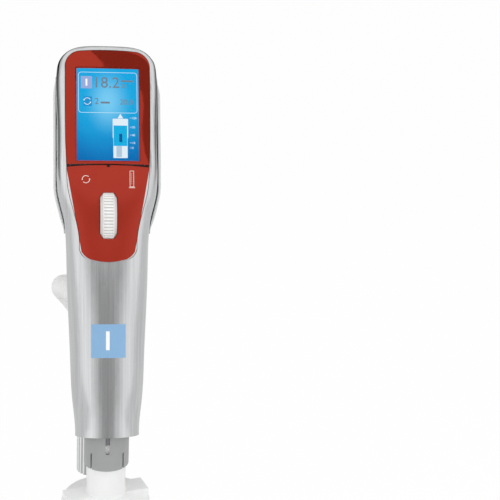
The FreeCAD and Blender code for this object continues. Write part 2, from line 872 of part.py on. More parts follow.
POSTS = [(x, num(S.neck_high + rise)) for x in (-post_side, post_side) for rise in (S.post_low, S.post_high)]
for side, along in POSTS:
    rear_body = rear_body.fuse(across(side, board_back, REACH, along, post).common(core_form))
head_screw = num(S.screw_head_radius)
for side, along in SCREWS:
    rear_body = rear_body.cut(across(side, -1.0, REACH, along, screw + num(S.screw_gap)))
    head_hole = head_screw + num(S.screw_head_gap)
    rear_body = rear_body.cut(across(side, num(S.screw_seat), REACH, along, head_hole))
stub_middle = HANDLE.inverse().multVec(INLET.Base + Vector(0, 0, num(S.stub_height)))
stub_axis = HANDLE_TURN.inverted().multVec(Vector(0, 1, 0))
stub_hole = rod(num(S.stub_radius + S.stub_gap), stub_middle - stub_axis * REACH, stub_middle)
rear_body = rear_body.cut(stub_hole)
rail_back = num(S.rail_back)
rail_screw = num(S.rail_screw_radius)
rail_high = S.body_length - S.rail_drop
RAIL_POSTS = (num(S.rail_low + S.rail_post_rise), num(rail_high - S.rail_post_drop))


def sideways(side, start, end, along, radius):
    """A round bar along X between two distances outside the body's side, at the rails' depth."""
    edge = half_width(along)
    return rod(radius, in_handle(side * (edge + start), rail_back, along),
               in_handle(side * (edge + end), rail_back, along))


for side in (-1, 1):
    for along in RAIL_POSTS:
        rear_body = rear_body.cut(sideways(side, -8, 3, along, rail_screw))
new_part("rear_shell", rear_body.removeSplitter(), HANDLE)

# ---------------------------------------------------------------- fascia
plate_band = outer.cut(plate_form)
plate_prism = fascia_prism(gap)
window_half = num(S.window_width) / 2
window_gap = num(S.window_gap)
window_step = num(S.window_step)
window_low = S.seam + S.window_rise
window_high = S.body_length - S.window_drop


def window_prism(inset):
    low = front_height(num(window_low)) + inset
    high = front_height(num(window_high)) - inset
    return block(-window_half + inset, window_half - inset, -REACH, -2, low, high)


bezel = plate_band.common(plate_prism).common(above_seam)
bezel = bezel.cut(window_prism(0.0).cut(lens_form)).cut(window_prism(window_step))
new_part("display_bezel", bezel.removeSplitter(), HANDLE)

lens = outer.cut(lens_form).common(window_prism(window_gap))
new_part("display_lens", lens.removeSplitter(), HANDLE)

gasket_band = plate_form.cut(bed_form).common(plate_prism).common(above_seam)
gasket = gasket_band.cut(inner_prism)
new_part("fascia_gasket", gasket.removeSplitter(), HANDLE)

panel = plate_band.common(plate_prism).common(below_seam)
for ear_place in (low_ear, high_ear):
    ear_low = ear_place - ear_length / 2
    ear_front = -front_depth(ear_place) + num(S.ear_root)
    lug = block(-ear, ear, ear_front, pivot_v, ear_low, ear_low + ear_length)
    lug = lug.fuse(rod(ear, Vector(0, pivot_v, ear_low), Vector(0, pivot_v, ear_low + ear_length)))
    panel = panel.fuse(lug.common(outer))
panel = panel.cut(wheel_slot_prism()).cut(wheel_room())
pin_bore = pivot_radius + num(S.running_gap)
bore_head = pin_head + num(S.pin_stand)
panel = panel.cut(rod(pin_bore, Vector(0, pivot_v, low_ear - ear_length), Vector(0, pivot_v, bore_head)))
new_part("control_panel", panel.removeSplitter(), HANDLE)

pin_past = ear_length / 2 + num(S.pin_stand)
pin_low = rod(pivot_radius, Vector(0, pivot_v, pin_foot), Vector(0, pivot_v, low_ear + pin_past))
pin_high = rod(pivot_radius, Vector(0, pivot_v, high_ear - pin_past), Vector(0, pivot_v, pin_head))
new_part("panel_pin_lower", pin_low, HANDLE)
new_part("panel_pin_upper", pin_high, HANDLE)

# ---------------------------------------------------------------- thumb wheel and its carrier
wheel = new_body("thumb_wheel", WHEEL)
half_tread = S.wheel_width / 2 - S.wheel_chamfer
wheel_outline = polygon(wheel, "wheel_outline", [
    (S.axle_radius + S.running_gap, -S.wheel_width / 2),
    (S.wheel_radius - S.wheel_chamfer_depth, -S.wheel_width / 2),
    (S.wheel_radius, -half_tread),
    (S.wheel_radius, half_tread),
    (S.wheel_radius - S.wheel_chamfer_depth, S.wheel_width / 2),
    (S.axle_radius + S.running_gap, S.wheel_width / 2),
], plane="XY_Plane")
wheel_turned = wheel.newObject("PartDesign::Revolution", "wheel_turned")
wheel_turned.Profile = wheel_outline
wheel_turned.ReferenceAxis = (wheel_outline, ["V_Axis"])
wheel_turned.Angle = 360
tread_groove = rectangle(wheel, "tread_groove", -S.wheel_rib_width / 2, S.wheel_rib_width / 2,
                         S.wheel_radius - S.wheel_rib_depth, S.wheel_radius + 1, plane="XZ_Plane")
groove_cut = pocket(wheel, tread_groove, half_tread * 2, symmetric=True)
groove_ring = wheel.newObject("PartDesign::PolarPattern", "groove_ring")
groove_ring.Originals = [groove_cut]
groove_ring.Axis = (tread_groove, ["N_Axis"])
groove_ring.Angle = 360
groove_ring.Occurrences = round(2 * math.pi * num(S.wheel_radius / S.wheel_rib_pitch))
wheel.Tip = groove_ring
wheel.Placement = Placement(WHEEL.Base, WHEEL.Rotation.multiply(Rotation(Vector(0, 0, 1), -90)))

cheek_far = S.wheel_width / 2 + S.cheek_gap + S.cheek_thickness

axle = new_body("wheel_axle", wheel.Placement)
axle_disc = circles(axle, "axle_disc", [(0, 0, S.axle_radius)], plane="XZ_Plane")
pad(axle, axle_disc, (cheek_far + S.axle_stand) * 2, symmetric=True)

carrier = new_body("wheel_carrier", WHEEL)
carrier_outline = rectangle(carrier, "carrier_outline", -S.carrier_front, carrier_rear,
                            -S.carrier_half_height, S.carrier_half_height, plane="YZ_Plane")
pad(carrier, carrier_outline, cheek_far * 2, symmetric=True)
carrier_room = rectangle(carrier, "carrier_room", -S.carrier_front - 1, carrier_back,
                         -S.carrier_half_height - 1, S.carrier_half_height + 1, plane="YZ_Plane")
pocket(carrier, carrier_room, (S.wheel_width / 2 + S.cheek_gap) * 2, symmetric=True)
carrier_bore = circles(carrier, "carrier_bore", [(0, 0, S.axle_radius)], plane="YZ_Plane")
pocket(carrier, carrier_bore, 40, symmetric=True)

sensor = new_body("wheel_sensor", WHEEL)
sensor_sketch = rectangle(sensor, "sensor_outline", S.sensor_near, S.sensor_far, -S.sensor_half_height,
                          S.sensor_half_height, plane="YZ_Plane", offset=cheek_far)
pad(sensor, sensor_sketch, S.sensor_thickness)
sensor_chip = rectangle(sensor, "sensor_chip", S.sensor_chip_near, S.sensor_chip_far, -S.sensor_chip_half,
                        S.sensor_chip_half, plane="YZ_Plane", offset=cheek_far + S.sensor_thickness)
pad(sensor, sensor_chip, S.sensor_chip_height)

# ---------------------------------------------------------------- side rails


def rail_path(side):
    """Points along the rail's middle, in the handle frame."""
    stand = num(S.rail_gap) + num(S.rail_thickness) / 2
    low = num(S.rail_low)
    high = num(rail_high)
    points = []
    for i in range(9):
        along = low + (high - low) * i / 8
        away = stand - num(S.rail_tuck) * (1 - ease(along, low, low + num(S.rail_tuck_length)))
        points.append(in_handle(side * (half_width(along) + away), rail_back, along))
    return points


def rail(side):
    points = rail_path(side)
    curve = Part.BSplineCurve()
    curve.interpolate(points)
    path = Part.Wire(curve.toShape())
    half = num(S.rail_depth) / 2
    thick = num(S.rail_thickness) / 2
    start = points[0]
    up = (points[1] - points[0]).normalize()
    out = Vector(0, 1, 0).cross(up).normalize()
    back = Vector(0, 1, 0)
    corners = []
    flat = half - thick
    for x, y in ((thick, -flat), (thick, flat), (-thick, flat), (-thick, -flat)):
        corners.append(start + out * x + back * y)
    near_mid = start - back * half
    far_mid = start + back * half
    profile = Part.Wire([
        Part.LineSegment(corners[0], corners[1]).toShape(),
        Part.Arc(corners[1], far_mid, corners[2]).toShape(),
        Part.LineSegment(corners[2], corners[3]).toShape(),
        Part.Arc(corners[3], near_mid, corners[0]).toShape(),
    ])
    maker = Part.BRepOffsetAPI.MakePipeShell(path)
    maker.setBiNormalMode(Vector(0, 1, 0))
    maker.add(profile)
    maker.build()
    maker.makeSolid()
    return maker.shape()


rail_reach = num(S.rail_gap + S.rail_screw_hold)
for side, hand in ((-1, "left"), (1, "right")):
    bar = rail(side)
    for along in RAIL_POSTS:
        stand = sideways(side, -2, num(S.rail_gap) + 1, along, num(S.rail_post_radius)).cut(outer)
        bar = bar.fuse(stand).cut(sideways(side, -3, rail_reach + 0.4, along, rail_screw))
    new_part("side_rail_" + hand, bar.removeSplitter(), HANDLE)
    for number, along in enumerate(RAIL_POSTS, start=1):
        shank = sideways(side, -wall - 0.8, rail_reach, along, rail_screw)
        head = sideways(side, -wall - 3, -1, along, 2 * rail_screw).common(cavity)
        new_part("rail_screw_%s_%d" % (hand, number), shank.fuse(head).removeSplitter(), HANDLE)

# ---------------------------------------------------------------- nozzle base


def nozzle_point(x, y, z):
    """A point of the nozzle's upright frame, in the handle frame."""
    return HANDLE.inverse().multVec(NOZZLE.multVec(Vector(x, y, z)))


def nozzle_rod(radius, low, high):
    return rod(radius, nozzle_point(0, 0, low), nozzle_point(0, 0, high))


fit = num(S.base_gap)
PAST = 60.0                        # reach of a cut beyond what it cuts
collar_inside = S.collar_radius - S.collar_wall
guide_outside = collar_inside - S.guide_gap
base_zone = axis_slab(num(S.base_start), num(S.base_height), -REACH, REACH)
base = body_form(wall + fit, front_inset + fit, wall + fit, low=-1.0).common(base_zone)
ceiling = num(S.pocket_ceiling)
base = base.cut(nozzle_rod(num(S.collar_radius + S.collar_gap), -PAST, ceiling))
guide = nozzle_rod(num(guide_outside), num(S.key_foot), ceiling + 1)
guide = guide.cut(nozzle_rod(num(guide_outside - S.guide_wall), -PAST, ceiling))
key_half = num(S.key_width) / 2
key_reach = num(S.collar_radius - S.key_inset)
key = Part.makeBox(2 * key_half, 2 * key_reach, num(S.collar_top - S.key_foot - S.key_drop),
                   Vector(-key_half, -key_reach, num(S.key_foot)))
key = key.cut(Part.makeCylinder(num(guide_outside) - 1, PAST, Vector(0, 0, -PAST / 2)))
key.Placement = HANDLE.inverse().multiply(NOZZLE)
base = base.fuse(guide).fuse(key)
base = base.cut(nozzle_rod(num(S.spigot_radius), ceiling - 1, PAST))
new_part("nozzle_base", base.removeSplitter(), HANDLE)

# ---------------------------------------------------------------- spigot and its rings
spigot = new_body("spigot", NOZZLE)
ring_seat = S.spigot_radius + S.filter_bore_gap - S.ring_gap - 2 * S.ring_wire
groove_half = S.ring_wire + S.ring_side_gap
spigot_outline = polygon(spigot, "spigot_outline", [
    (S.spigot_bore, S.spigot_foot),
    (S.spigot_radius, S.spigot_foot),
    (S.spigot_radius, S.ring_low - groove_half),
    (ring_seat, S.ring_low - groove_half),
    (ring_seat, S.ring_low + groove_half),
    (S.spigot_radius, S.ring_low + groove_half),
    (S.spigot_radius, S.ring_high - groove_half),
    (ring_seat, S.ring_high - groove_half),
    (ring_seat, S.ring_high + groove_half),
    (S.spigot_radius, S.ring_high + groove_half),
    (S.spigot_radius, S.pocket_ceiling - S.spigot_flange_height),
    (S.spigot_radius + S.spigot_flange, S.pocket_ceiling - S.spigot_flange_height),
    (S.spigot_radius + S.spigot_flange, S.pocket_ceiling),
    (S.spigot_radius, S.pocket_ceiling),
    (S.spigot_radius, S.spigot_head),
    (S.barb_radius, S.spigot_head),
    (S.barb_radius, S.spigot_head + S.barb_length),
    (S.barb_bore, S.spigot_head + S.barb_length),
    (S.barb_bore, S.spigot_head - S.spigot_roof),
    (S.spigot_bore, S.spigot_head - S.spigot_roof),
])
revolve(spigot, spigot_outline)

for name, height in (("spigot_ring_upper", S.ring_high), ("spigot_ring_lower", S.ring_low)):
    ring = new_body(name, NOZZLE)
    ring_disc = (ring_seat + S.ring_wire, height, S.ring_wire)
    ring_outline = circles(ring, name + "_outline", [ring_disc], "XZ_Plane")
    revolve(ring, ring_outline)

# ---------------------------------------------------------------- release collar
collar = new_body("release_collar", NOZZLE)
collar_outline = rectangle(collar, "collar_outline", collar_inside, S.collar_radius,
                           S.collar_rim, S.collar_top)
revolve(collar, collar_outline)
slot_end = S.slot_foot + S.slot_width / 2
key_slot = rectangle(collar, "key_slot", -S.slot_width / 2, S.slot_width / 2, slot_end, S.collar_top + 1)
pocket(collar, key_slot, PAST, symmetric=True)
slot_round = circles(collar, "slot_round", [(0, slot_end, S.slot_width / 2)], "XZ_Plane")
pocket(collar, slot_round, PAST, symmetric=True)
for number, turn in ((1, 45), (2, -45)):
    slit_top = S.slit_top - S.slit_width / 2
    slit = rectangle(collar, "slit_%d" % number, -S.slit_width / 2, S.slit_width / 2,
                     S.collar_rim - 1, slit_top)
    slit.AttachmentOffset = Placement(Vector(), Rotation(Vector(0, 1, 0), turn))
    pocket(collar, slit, PAST, symmetric=True)
    slit_round = circles(collar, "slit_round_%d" % number, [(0, slit_top, S.slit_width / 2)], "XZ_Plane")
    slit_round.AttachmentOffset = Placement(Vector(), Rotation(Vector(0, 1, 0), turn))
    pocket(collar, slit_round, PAST, symmetric=True)

spring_low = num(S.collar_top + S.spring_wire / 2 + S.spring_gap)
spring_high = num(S.pocket_ceiling - S.spring_wire / 2 - S.spring_gap)
spring_mean = num((collar_inside + S.collar_radius) / 2)
spring_height = spring_high - spring_low
coil_path = Part.makeHelix(spring_height / num(S.spring_turns), spring_height, spring_mean)
coil_path.translate(Vector(0, 0, spring_low))
half_wire = num(S.spring_wire) / 2
wire_corners = [Vector(spring_mean + x * half_wire, 0, spring_low + z * half_wire)
                for x, z in ((-1, -1), (1, -1), (1, 1), (-1, 1), (-1, -1))]
spring = Part.Wire(coil_path).makePipeShell([Part.makePolygon(wire_corners)], True, True)
new_part("collar_spring", spring, NOZZLE)

# ---------------------------------------------------------------- filter
upper = new_body("filter_upper", FILTER)
bore = S.spigot_radius + S.filter_bore_gap
shoulder_end = S.filter_shoulder - S.filter_shoulder_drop
inside = S.filter_radius - S.filter_wall
ceiling_in = S.filter_shoulder - S.filter_wall - S.filter_roof
core_inside = S.core_radius - S.core_wall
core_outside = S.core_radius + S.core_wall
upper_outline = polygon(upper, "upper_outline", [
    (bore, S.filter_neck_top),
    (S.filter_neck_radius, S.filter_neck_top),
    (S.filter_neck_radius, S.filter_shoulder),
    (S.filter_radius, shoulder_end),
    (S.filter_radius, S.filter_seam + S.filter_flange_height),
    (S.filter_radius + S.filter_flange, S.filter_seam + S.filter_flange_height),
    (S.filter_radius + S.filter_flange, S.filter_seam),
    (inside, S.filter_seam),
    (inside, shoulder_end - S.filter_edge),
    (inside - S.filter_roof_inset, shoulder_end - S.filter_wall - S.filter_roof_edge),
    (core_outside, ceiling_in),
    (core_inside, ceiling_in),
    (core_inside, S.spigot_foot - S.spigot_roof),
    (bore, S.spigot_foot - S.spigot_roof),
])
revolve(upper, upper_outline)
rounded(upper, "Fillet", S.filter_edge, ring_edge(S.filter_radius, shoulder_end))
rounded(upper, "Fillet", S.filter_neck_fillet, ring_edge(S.filter_neck_radius, S.filter_shoulder))
bar_outline = rectangle(upper, "bar_outline", -S.filter_bar_reach, S.filter_bar_reach,
                        -S.filter_bar_half_width, S.filter_bar_half_width,
                        plane="XY_Plane", offset=S.filter_bar_top)
pad(upper, bar_outline, S.filter_bar_thickness, reverse=True)
flow_start = S.spigot_foot - S.spigot_roof - 1
flow_disc = circles(upper, "flow_disc", [(0, 0, core_inside)], "XY_Plane", offset=flow_start)
pocket(upper, flow_disc, 40)
core_disc = circles(upper, "core_disc", [(0, 0, core_outside)], "XY_Plane", offset=ceiling_in)
pocket(upper, core_disc, 12)

lower = new_body("filter_lower", FILTER)
lower_outline = polygon(lower, "lower_outline", [
    (inside, S.filter_seam),
    (S.filter_radius + S.filter_flange, S.filter_seam),
    (S.filter_radius + S.filter_flange, S.filter_seam - S.filter_flange_height),
    (S.filter_radius, S.filter_seam - S.filter_flange_height),
    (S.filter_radius, S.filter_foot + S.filter_cone),
    (S.outlet_radius + S.outlet_flare, S.filter_foot),
    (S.outlet_radius, S.filter_foot),
    (S.outlet_radius, S.filter_foot - S.outlet_length),
    (S.outlet_bore, S.filter_foot - S.outlet_length),
    (S.outlet_bore, S.filter_foot + S.filter_wall),
    (S.outlet_radius + S.outlet_flare, S.filter_foot + S.filter_wall),
    (inside, S.filter_foot + S.filter_cone + S.filter_wall / 2),
])
revolve(lower, lower_outline)
rounded(lower, "Fillet", S.filter_cone_fillet, ring_edge(S.filter_radius, S.filter_foot + S.filter_cone))

core = new_body("filter_core", FILTER)
core_outline = rectangle(core, "core_outline", core_inside, S.core_radius,
                         S.filter_foot + S.filter_wall, ceiling_in)
revolve(core, core_outline)

for number in range(1, round(num(S.disc_count)) + 1):
    disc = new_body("filter_disc_%d" % number, FILTER)
    disc_rings = [(0, 0, S.disc_radius), (0, 0, S.core_radius)]
    disc_outline = circles(disc, "disc_outline_%d" % number, disc_rings,
                           "XY_Plane", offset=S.disc_low + S.disc_pitch * (number - 1))
    pad(disc, disc_outline, S.disc_thickness)

# ---------------------------------------------------------------- hose inlet
union = new_body("inlet_union", INLET)
union_foot = S.sleeve_foot + S.union_recess
union_outline = polygon(union, "union_outline", [
    (0, union_foot),
    (S.union_radius, union_foot),
    (S.union_radius, S.union_top),
    (S.union_bore, S.union_top),
    (S.union_bore, union_foot + S.union_plug),
    (0, union_foot + S.union_plug),
])
revolve(union, union_outline)
stub_disc = circles(union, "stub_disc", [(0, S.stub_height, S.stub_radius)], "XZ_Plane")
pad(union, stub_disc, S.stub_reach)
barb_disc = circles(union, "barb_disc", [(0, S.stub_height, S.barb_radius)], "XZ_Plane", offset=S.stub_reach)
pad(union, barb_disc, S.barb_length - 2)
stub_bore = circles(union, "stub_bore", [(0, S.stub_height, S.stub_bore)], "XZ_Plane", offset=2)
pocket(union, stub_bore, S.stub_reach + S.barb_length, reverse=True)

sleeve = new_body("inlet_sleeve", INLET)
sleeve_outline = rectangle(sleeve, "sleeve_outline", S.union_radius, S.sleeve_radius,
                           S.sleeve_foot, S.sleeve_top)
revolve(sleeve, sleeve_outline)
flute_disc = circles(sleeve, "flute_disc", [(S.sleeve_radius + S.flute_stand, 0, S.flute_radius)],
                     "XY_Plane", offset=S.sleeve_foot - 1)
flute = pocket(sleeve, flute_disc, S.sleeve_top - S.sleeve_foot + 2, reverse=True)
polar(sleeve, flute, S.flute_count)

nut = new_body("hose_nut", INLET)
nut_outline = polygon(nut, "nut_outline", [
    (S.hose_nut_bore, S.union_top),
    (S.hose_nut_radius, S.union_top),
    (S.hose_nut_radius, S.union_top + S.hose_nut_height - S.hose_nut_chamfer),
    (S.hose_nut_radius - S.hose_nut_chamfer, S.union_top + S.hose_nut_height),
    (S.hose_nut_bore, S.union_top + S.hose_nut_height),
])
revolve(nut, nut_outline)
grip_disc = circles(nut, "grip_disc", [(S.hose_nut_radius + S.grip_stand, 0, S.grip_radius)],
                    "XY_Plane", offset=S.union_top - 1)
grip = pocket(nut, grip_disc, S.hose_nut_height + 2, reverse=True)
polar(nut, grip, S.hose_nut_grips)

# ---------------------------------------------------------------- routes with tangent arcs


def rounded_route(points, bends):
    """Straight runs joined by tangent arcs, one bend radius for each inner point."""
    edges = []
    start = points[0]
    for i, radius in enumerate(bends, start=1):
        into = (points[i] - points[i - 1]).normalize()
        away = (points[i + 1] - points[i]).normalize()
        half_turn = into.getAngle(away) / 2
        setback = radius * math.tan(half_turn)
        first = points[i] - into * setback
        last = points[i] + away * setback
        inward = (away - into).normalize()
        middle = points[i] + inward * (radius / math.cos(half_turn) - radius)
        if (first - start).Length > 1e-6:
            edges.append(Part.LineSegment(start, first).toShape())
        edges.append(Part.Arc(first, middle, last).toShape())
        start = last
    edges.append(Part.LineSegment(start, points[-1]).toShape())
    return Part.Wire(edges)


def tube_along(route, outside, bore):
    """A round tube along a route."""
    first = route.Edges[0]
    start = first.valueAt(first.FirstParameter)
    direction = first.tangentAt(first.FirstParameter)

    def swept(radius):
        ring = Part.Wire(Part.Circle(start, direction, radius).toShape())
        return route.makePipeShell([ring], True, False)

    return swept(outside).cut(swept(bore))


# ---------------------------------------------------------------- valve and its tubes
valve = new_body("dispense_valve", HANDLE)
valve_outline = rectangle(valve, "valve_outline", -S.valve_width / 2, S.valve_width / 2,
                          -S.valve_front, S.valve_back, plane="XY_Plane", offset=S.valve_low)
pad(valve, valve_outline, S.valve_high - S.valve_low)
PORTS = (("inlet", S.inlet_port_side, S.inlet_port_back), ("outlet", 0, S.outlet_port_back))
port_length = S.barb_length - 2
for name, side, back in PORTS:
    barb = circles(valve, name + "_barb", [(side, back, S.barb_radius)], offset=S.valve_low)
    pad(valve, barb, port_length, reverse=True)
for name, side, back in PORTS:
    bore_disc = circles(valve, name + "_bore", [(side, back, S.port_bore)], offset=S.valve_low - port_length)
    pocket(valve, bore_disc, port_length + 10, reverse=True)

coil = new_body("valve_coil", HANDLE)
coil_disc = circles(coil, "coil_disc", [(0, 0, S.coil_radius)], offset=S.valve_high)
pad(coil, coil_disc, S.coil_length)
tab_side = S.coil_tab_half_width
tab_deep = S.coil_tab_half_thickness
coil_tabs = rectangle(coil, "coil_tabs", -tab_side, tab_side, -tab_deep, tab_deep,
                      plane="XY_Plane", offset=S.valve_high + S.coil_length)
pad(coil, coil_tabs, S.coil_tab_height)

barb_start = HANDLE.inverse().multVec(INLET.multVec(Vector(0, -num(S.stub_reach), num(S.stub_height))))
barb_line = stub_axis * -1
port_back = num(S.inlet_port_back)
crossing = barb_start + barb_line * ((barb_start.y - port_back) / -barb_line.y)
port_top = Vector(crossing.x, port_back, num(S.valve_low))
inlet_route = rounded_route([barb_start, crossing, port_top], [num(S.tube_bend)])
new_part("inlet_tube", tube_along(inlet_route, num(S.tube_radius), num(S.barb_radius)), HANDLE)

outlet_back = num(S.outlet_port_back)
outlet_start = nozzle_point(0, 0, num(S.spigot_head))
outlet_line = nozzle_point(0, 0, num(S.spigot_head) + 1) - outlet_start
crossing = outlet_start + outlet_line * ((outlet_back - outlet_start.y) / outlet_line.y)
outlet_end = Vector(0, outlet_back, num(S.valve_low))
outlet_route = rounded_route([outlet_start, crossing, outlet_end], [num(S.outlet_bend)])
new_part("outlet_tube", tube_along(outlet_route, num(S.tube_radius), num(S.barb_radius)), HANDLE)

# ---------------------------------------------------------------- head electronics
display = new_body("display_module", HEAD)
display_low = window_low - S.neck_high - S.display_edge
display_high = window_high - S.neck_high + S.display_edge_high
board_high = window_high - S.neck_high + S.board_rise
switch_place = S.seam - S.neck_high - S.switch_drop
board_low = switch_place - S.switch_edge
display_outline = rectangle(display, "display_outline", -S.display_width / 2, S.display_width / 2,
                            display_low, display_high, offset=S.display_depth)
pad(display, display_outline, S.display_thickness, reverse=True)
leg_side = S.board_width / 2 - S.leg_inset
display_back = S.display_depth - S.display_thickness
LEGS = [(left, low) for low in (display_low + S.leg_inset, board_high - S.leg_drop)
        for left in (-leg_side, leg_side - S.leg_width)]
for number, (left, low) in enumerate(LEGS):
    leg = rectangle(display, "display_leg_%d" % number, left, left + S.leg_width, low, low + S.leg_width,
                    offset=display_back)
    pad(display, leg, display_back - S.board_depth, reverse=True)

board = new_body("circuit_board", HEAD)
board_outline = rectangle(board, "board_outline", -S.board_width / 2, S.board_width / 2,
                          board_low, board_high, offset=S.board_depth)
pad(board, board_outline, S.board_thickness, reverse=True)
board_rear = S.board_depth - S.board_thickness
CHIPS = (                          # name, left edge, lower edge, width, height, thickness
    ("processor", -8, board_high - 45.2, 14, 14, 1.4),
    ("supply", 9, board_low + 36, 8, 10, 5),
    ("socket", -10, board_low + 10, 20, 6, 6),
    ("memory", -9, board_high - 21.2, 10, 6, 1.2),
)
for name, left, low, width, height, thick in CHIPS:
    chip = rectangle(board, name, left, left + width, low, low + height, offset=board_rear)
    pad(board, chip, thick, reverse=True)

HEAD_IN_HANDLE = HANDLE.inverse().multiply(HEAD)
switch_side = num(S.switch_side)
for side, hand in ((-1, "left"), (1, "right")):
    seat = HEAD_IN_HANDLE.multVec(Vector(side * switch_side, -num(S.board_depth), num(switch_place)))
    reach = panel.distToShape(Part.Vertex(seat))[0] - num(S.plunger_gap)
    switch = new_body("push_switch_" + hand, HEAD)
    half = S.switch_width / 2
    case_middle = side * S.switch_side
    case = rectangle(switch, "switch_case_" + hand, case_middle - half, case_middle + half,
                     switch_place - half, switch_place + half, offset=S.board_depth)
    pad(switch, case, S.switch_height)
    plunger = circles(switch, "plunger_" + hand, [(case_middle, switch_place, S.plunger_radius)],
                      "XZ_Plane", offset=S.board_depth + S.switch_height)
    pad(switch, plunger, reach - num(S.switch_height))

ribbon_room = num(display_back - S.board_depth)
ribbon_half = num(S.ribbon_width) / 2
ribbon_thick = num(S.ribbon_thickness)
bend_middle = -num(S.board_depth) - ribbon_room / 2
bend_radius = ribbon_room / 2
ribbon_low = num(display_low + S.ribbon_rise)
ribbon_end = ribbon_low + num(S.ribbon_arm)


def ribbon_solid(radius):
    """A U lying on its side: a round bend below and two straight arms above."""
    near, far = bend_middle - radius, bend_middle + radius
    bend_left = Vector(-ribbon_half, bend_middle, ribbon_low)
    bend_right = Vector(ribbon_half, bend_middle, ribbon_low)
    bend = rod(radius, bend_left, bend_right)
    return bend.fuse(block(-ribbon_half, ribbon_half, near, far, ribbon_low, ribbon_end))


ribbon = ribbon_solid(bend_radius).cut(ribbon_solid(bend_radius - ribbon_thick))
new_part("ribbon_cable", ribbon.removeSplitter(), HEAD)

label_stand = -num(S.label_thickness)
label_skin = body_form(label_stand, label_stand, label_stand, low=-1.0)
label_half = num(S.label_half_width)
label_zone = axis_slab(num(S.label_low), num(S.label_high), -REACH, -5).common(
    block(-label_half, label_half, -REACH, 0, 0, top_end))
new_part("printed_label", label_skin.cut(outer).common(label_zone), HANDLE)

# ---------------------------------------------------------------- shell screws
screw_seat = num(S.screw_seat)
for number, (side, along) in enumerate(SCREWS, start=1):
    shank = across(side, -num(S.screw_reach), screw_seat, along, screw)
    cap = across(side, screw_seat, screw_seat + num(S.screw_head_height), along, head_screw)
    drive_floor = screw_seat + num(S.screw_head_height - S.screw_drive_depth)
    drive = across(side, drive_floor, REACH, along, num(S.screw_drive_radius))
    new_part("shell_screw_%d" % number, shank.fuse(cap).cut(drive), HANDLE)

# ---------------------------------------------------------------- hose
# Points of the route about the body's foot: up from the nut, over to the left and down behind.
NUT_TOP = num(S.union_top + S.hose_nut_height)
HOSE_POINTS = (
    (-6.5, 64, NUT_TOP), (-6.5, 64, 55), (-11, 71.5, 73), (-18.5, 85.5, 85), (-27, 103, 89),
    (-33.5, 121.5, 85), (-33.5, 143, 75), (-25, 160, 60), (-14, 167, 40.5), (-9.5, 167.5, 18),
    (-5.5, 168, -8), (-2, 169, -34), (1, 169.5, -60), (2, 168.5, -86),
)
hose_points = [foot + Vector(*p) for p in HOSE_POINTS]
hose_bends = []
for before, here, after in zip(hose_points, hose_points[1:], hose_points[2:]):
    shorter = min((here - before).Length, (after - here).Length)
    turn = (here - before).getAngle(after - here)
    hose_bends.append(0.45 * shorter / math.tan(turn / 2))
hose_route = rounded_route(hose_points, hose_bends)
hose = tube_along(hose_route, num(S.hose_radius), num(S.hose_bore))
new_part("hose", hose, Placement())
hose_ring = math.pi * (num(S.hose_radius) ** 2 - num(S.hose_bore) ** 2)
print("hose bends", " ".join("%.0f" % b for b in hose_bends))
print("hose length %.1f, volume / (section x length) %.5f"
      % (hose_route.Length, hose.Volume / (hose_ring * hose_route.Length)))

hose_end = hose_points[-1]
end_line = (hose_points[-1] - hose_points[-2]).normalize()
HOSE_END = Placement(hose_end, Rotation(Vector(0, 0, 1), end_line))
ferrule = new_body("hose_ferrule", HOSE_END)
ferrule_outline = polygon(ferrule, "ferrule_outline", [
    (S.ferrule_bore, 0),
    (S.ferrule_radius - S.ferrule_chamfer, 0),
    (S.ferrule_radius, S.ferrule_chamfer),
    (S.ferrule_radius, S.ferrule_length - S.ferrule_chamfer),
    (S.ferrule_radius - S.ferrule_chamfer, S.ferrule_length),
    (S.ferrule_bore, S.ferrule_length),
])
revolve(ferrule, ferrule_outline)

connector = new_body("hose_connector", HOSE_END)
seal_middle = S.ferrule_length + S.seal_place
seal_seat = S.connector_radius - 2 * S.ring_wire + S.seal_squeeze
tail = S.ferrule_length + S.connector_length
connector_outline = polygon(connector, "connector_outline", [
    (S.connector_bore, S.ferrule_length),
    (S.connector_radius + S.connector_collar, S.ferrule_length),
    (S.connector_radius + S.connector_collar, S.ferrule_length + S.connector_collar_height),
    (S.connector_radius, S.ferrule_length + S.connector_collar_height),
    (S.connector_radius, seal_middle - groove_half),
    (seal_seat, seal_middle - groove_half),
    (seal_seat, seal_middle + groove_half),
    (S.connector_radius, seal_middle + groove_half),
    (S.connector_radius, tail),
    (S.nose_radius, tail),
    (S.nose_radius, tail + S.nose_length),
    (S.connector_bore, tail + S.nose_length),
])
revolve(connector, connector_outline)

seal = new_body("connector_ring", HOSE_END)
seal_disc = (seal_seat + S.ring_wire, seal_middle, S.ring_wire)
seal_outline = circles(seal, "seal_outline", [seal_disc], "XZ_Plane")
revolve(seal, seal_outline)

# ---------------------------------------------------------------- check and write
doc.recompute()
nodes = [o for o in doc.Objects if o.TypeId == "PartDesign::Body"]
nodes += [o for o in doc.Objects if o.TypeId == "Part::Feature"]
for item in doc.Objects:
    if "Invalid" in item.State or "Error" in item.State:
        raise RuntimeError("%s did not build: %s" % (item.Label, item.State))
for node in nodes:
    if node.Shape.isNull() or not node.Shape.isValid():
        raise RuntimeError("%s has no valid shape" % node.Label)

os.makedirs("parts", exist_ok=True)
for node in nodes:
    node.Shape.exportStep(os.path.join("parts", node.Label + ".step"))
print("%d nodes written" % len(nodes))
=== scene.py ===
"""A hand-held dispenser for ultrapure water, with its filter, hose and touch display."""

import math

import bmesh
import bpy
from mathutils import Matrix, Quaternion, Vector
from mathutils.bvhtree import BVHTree


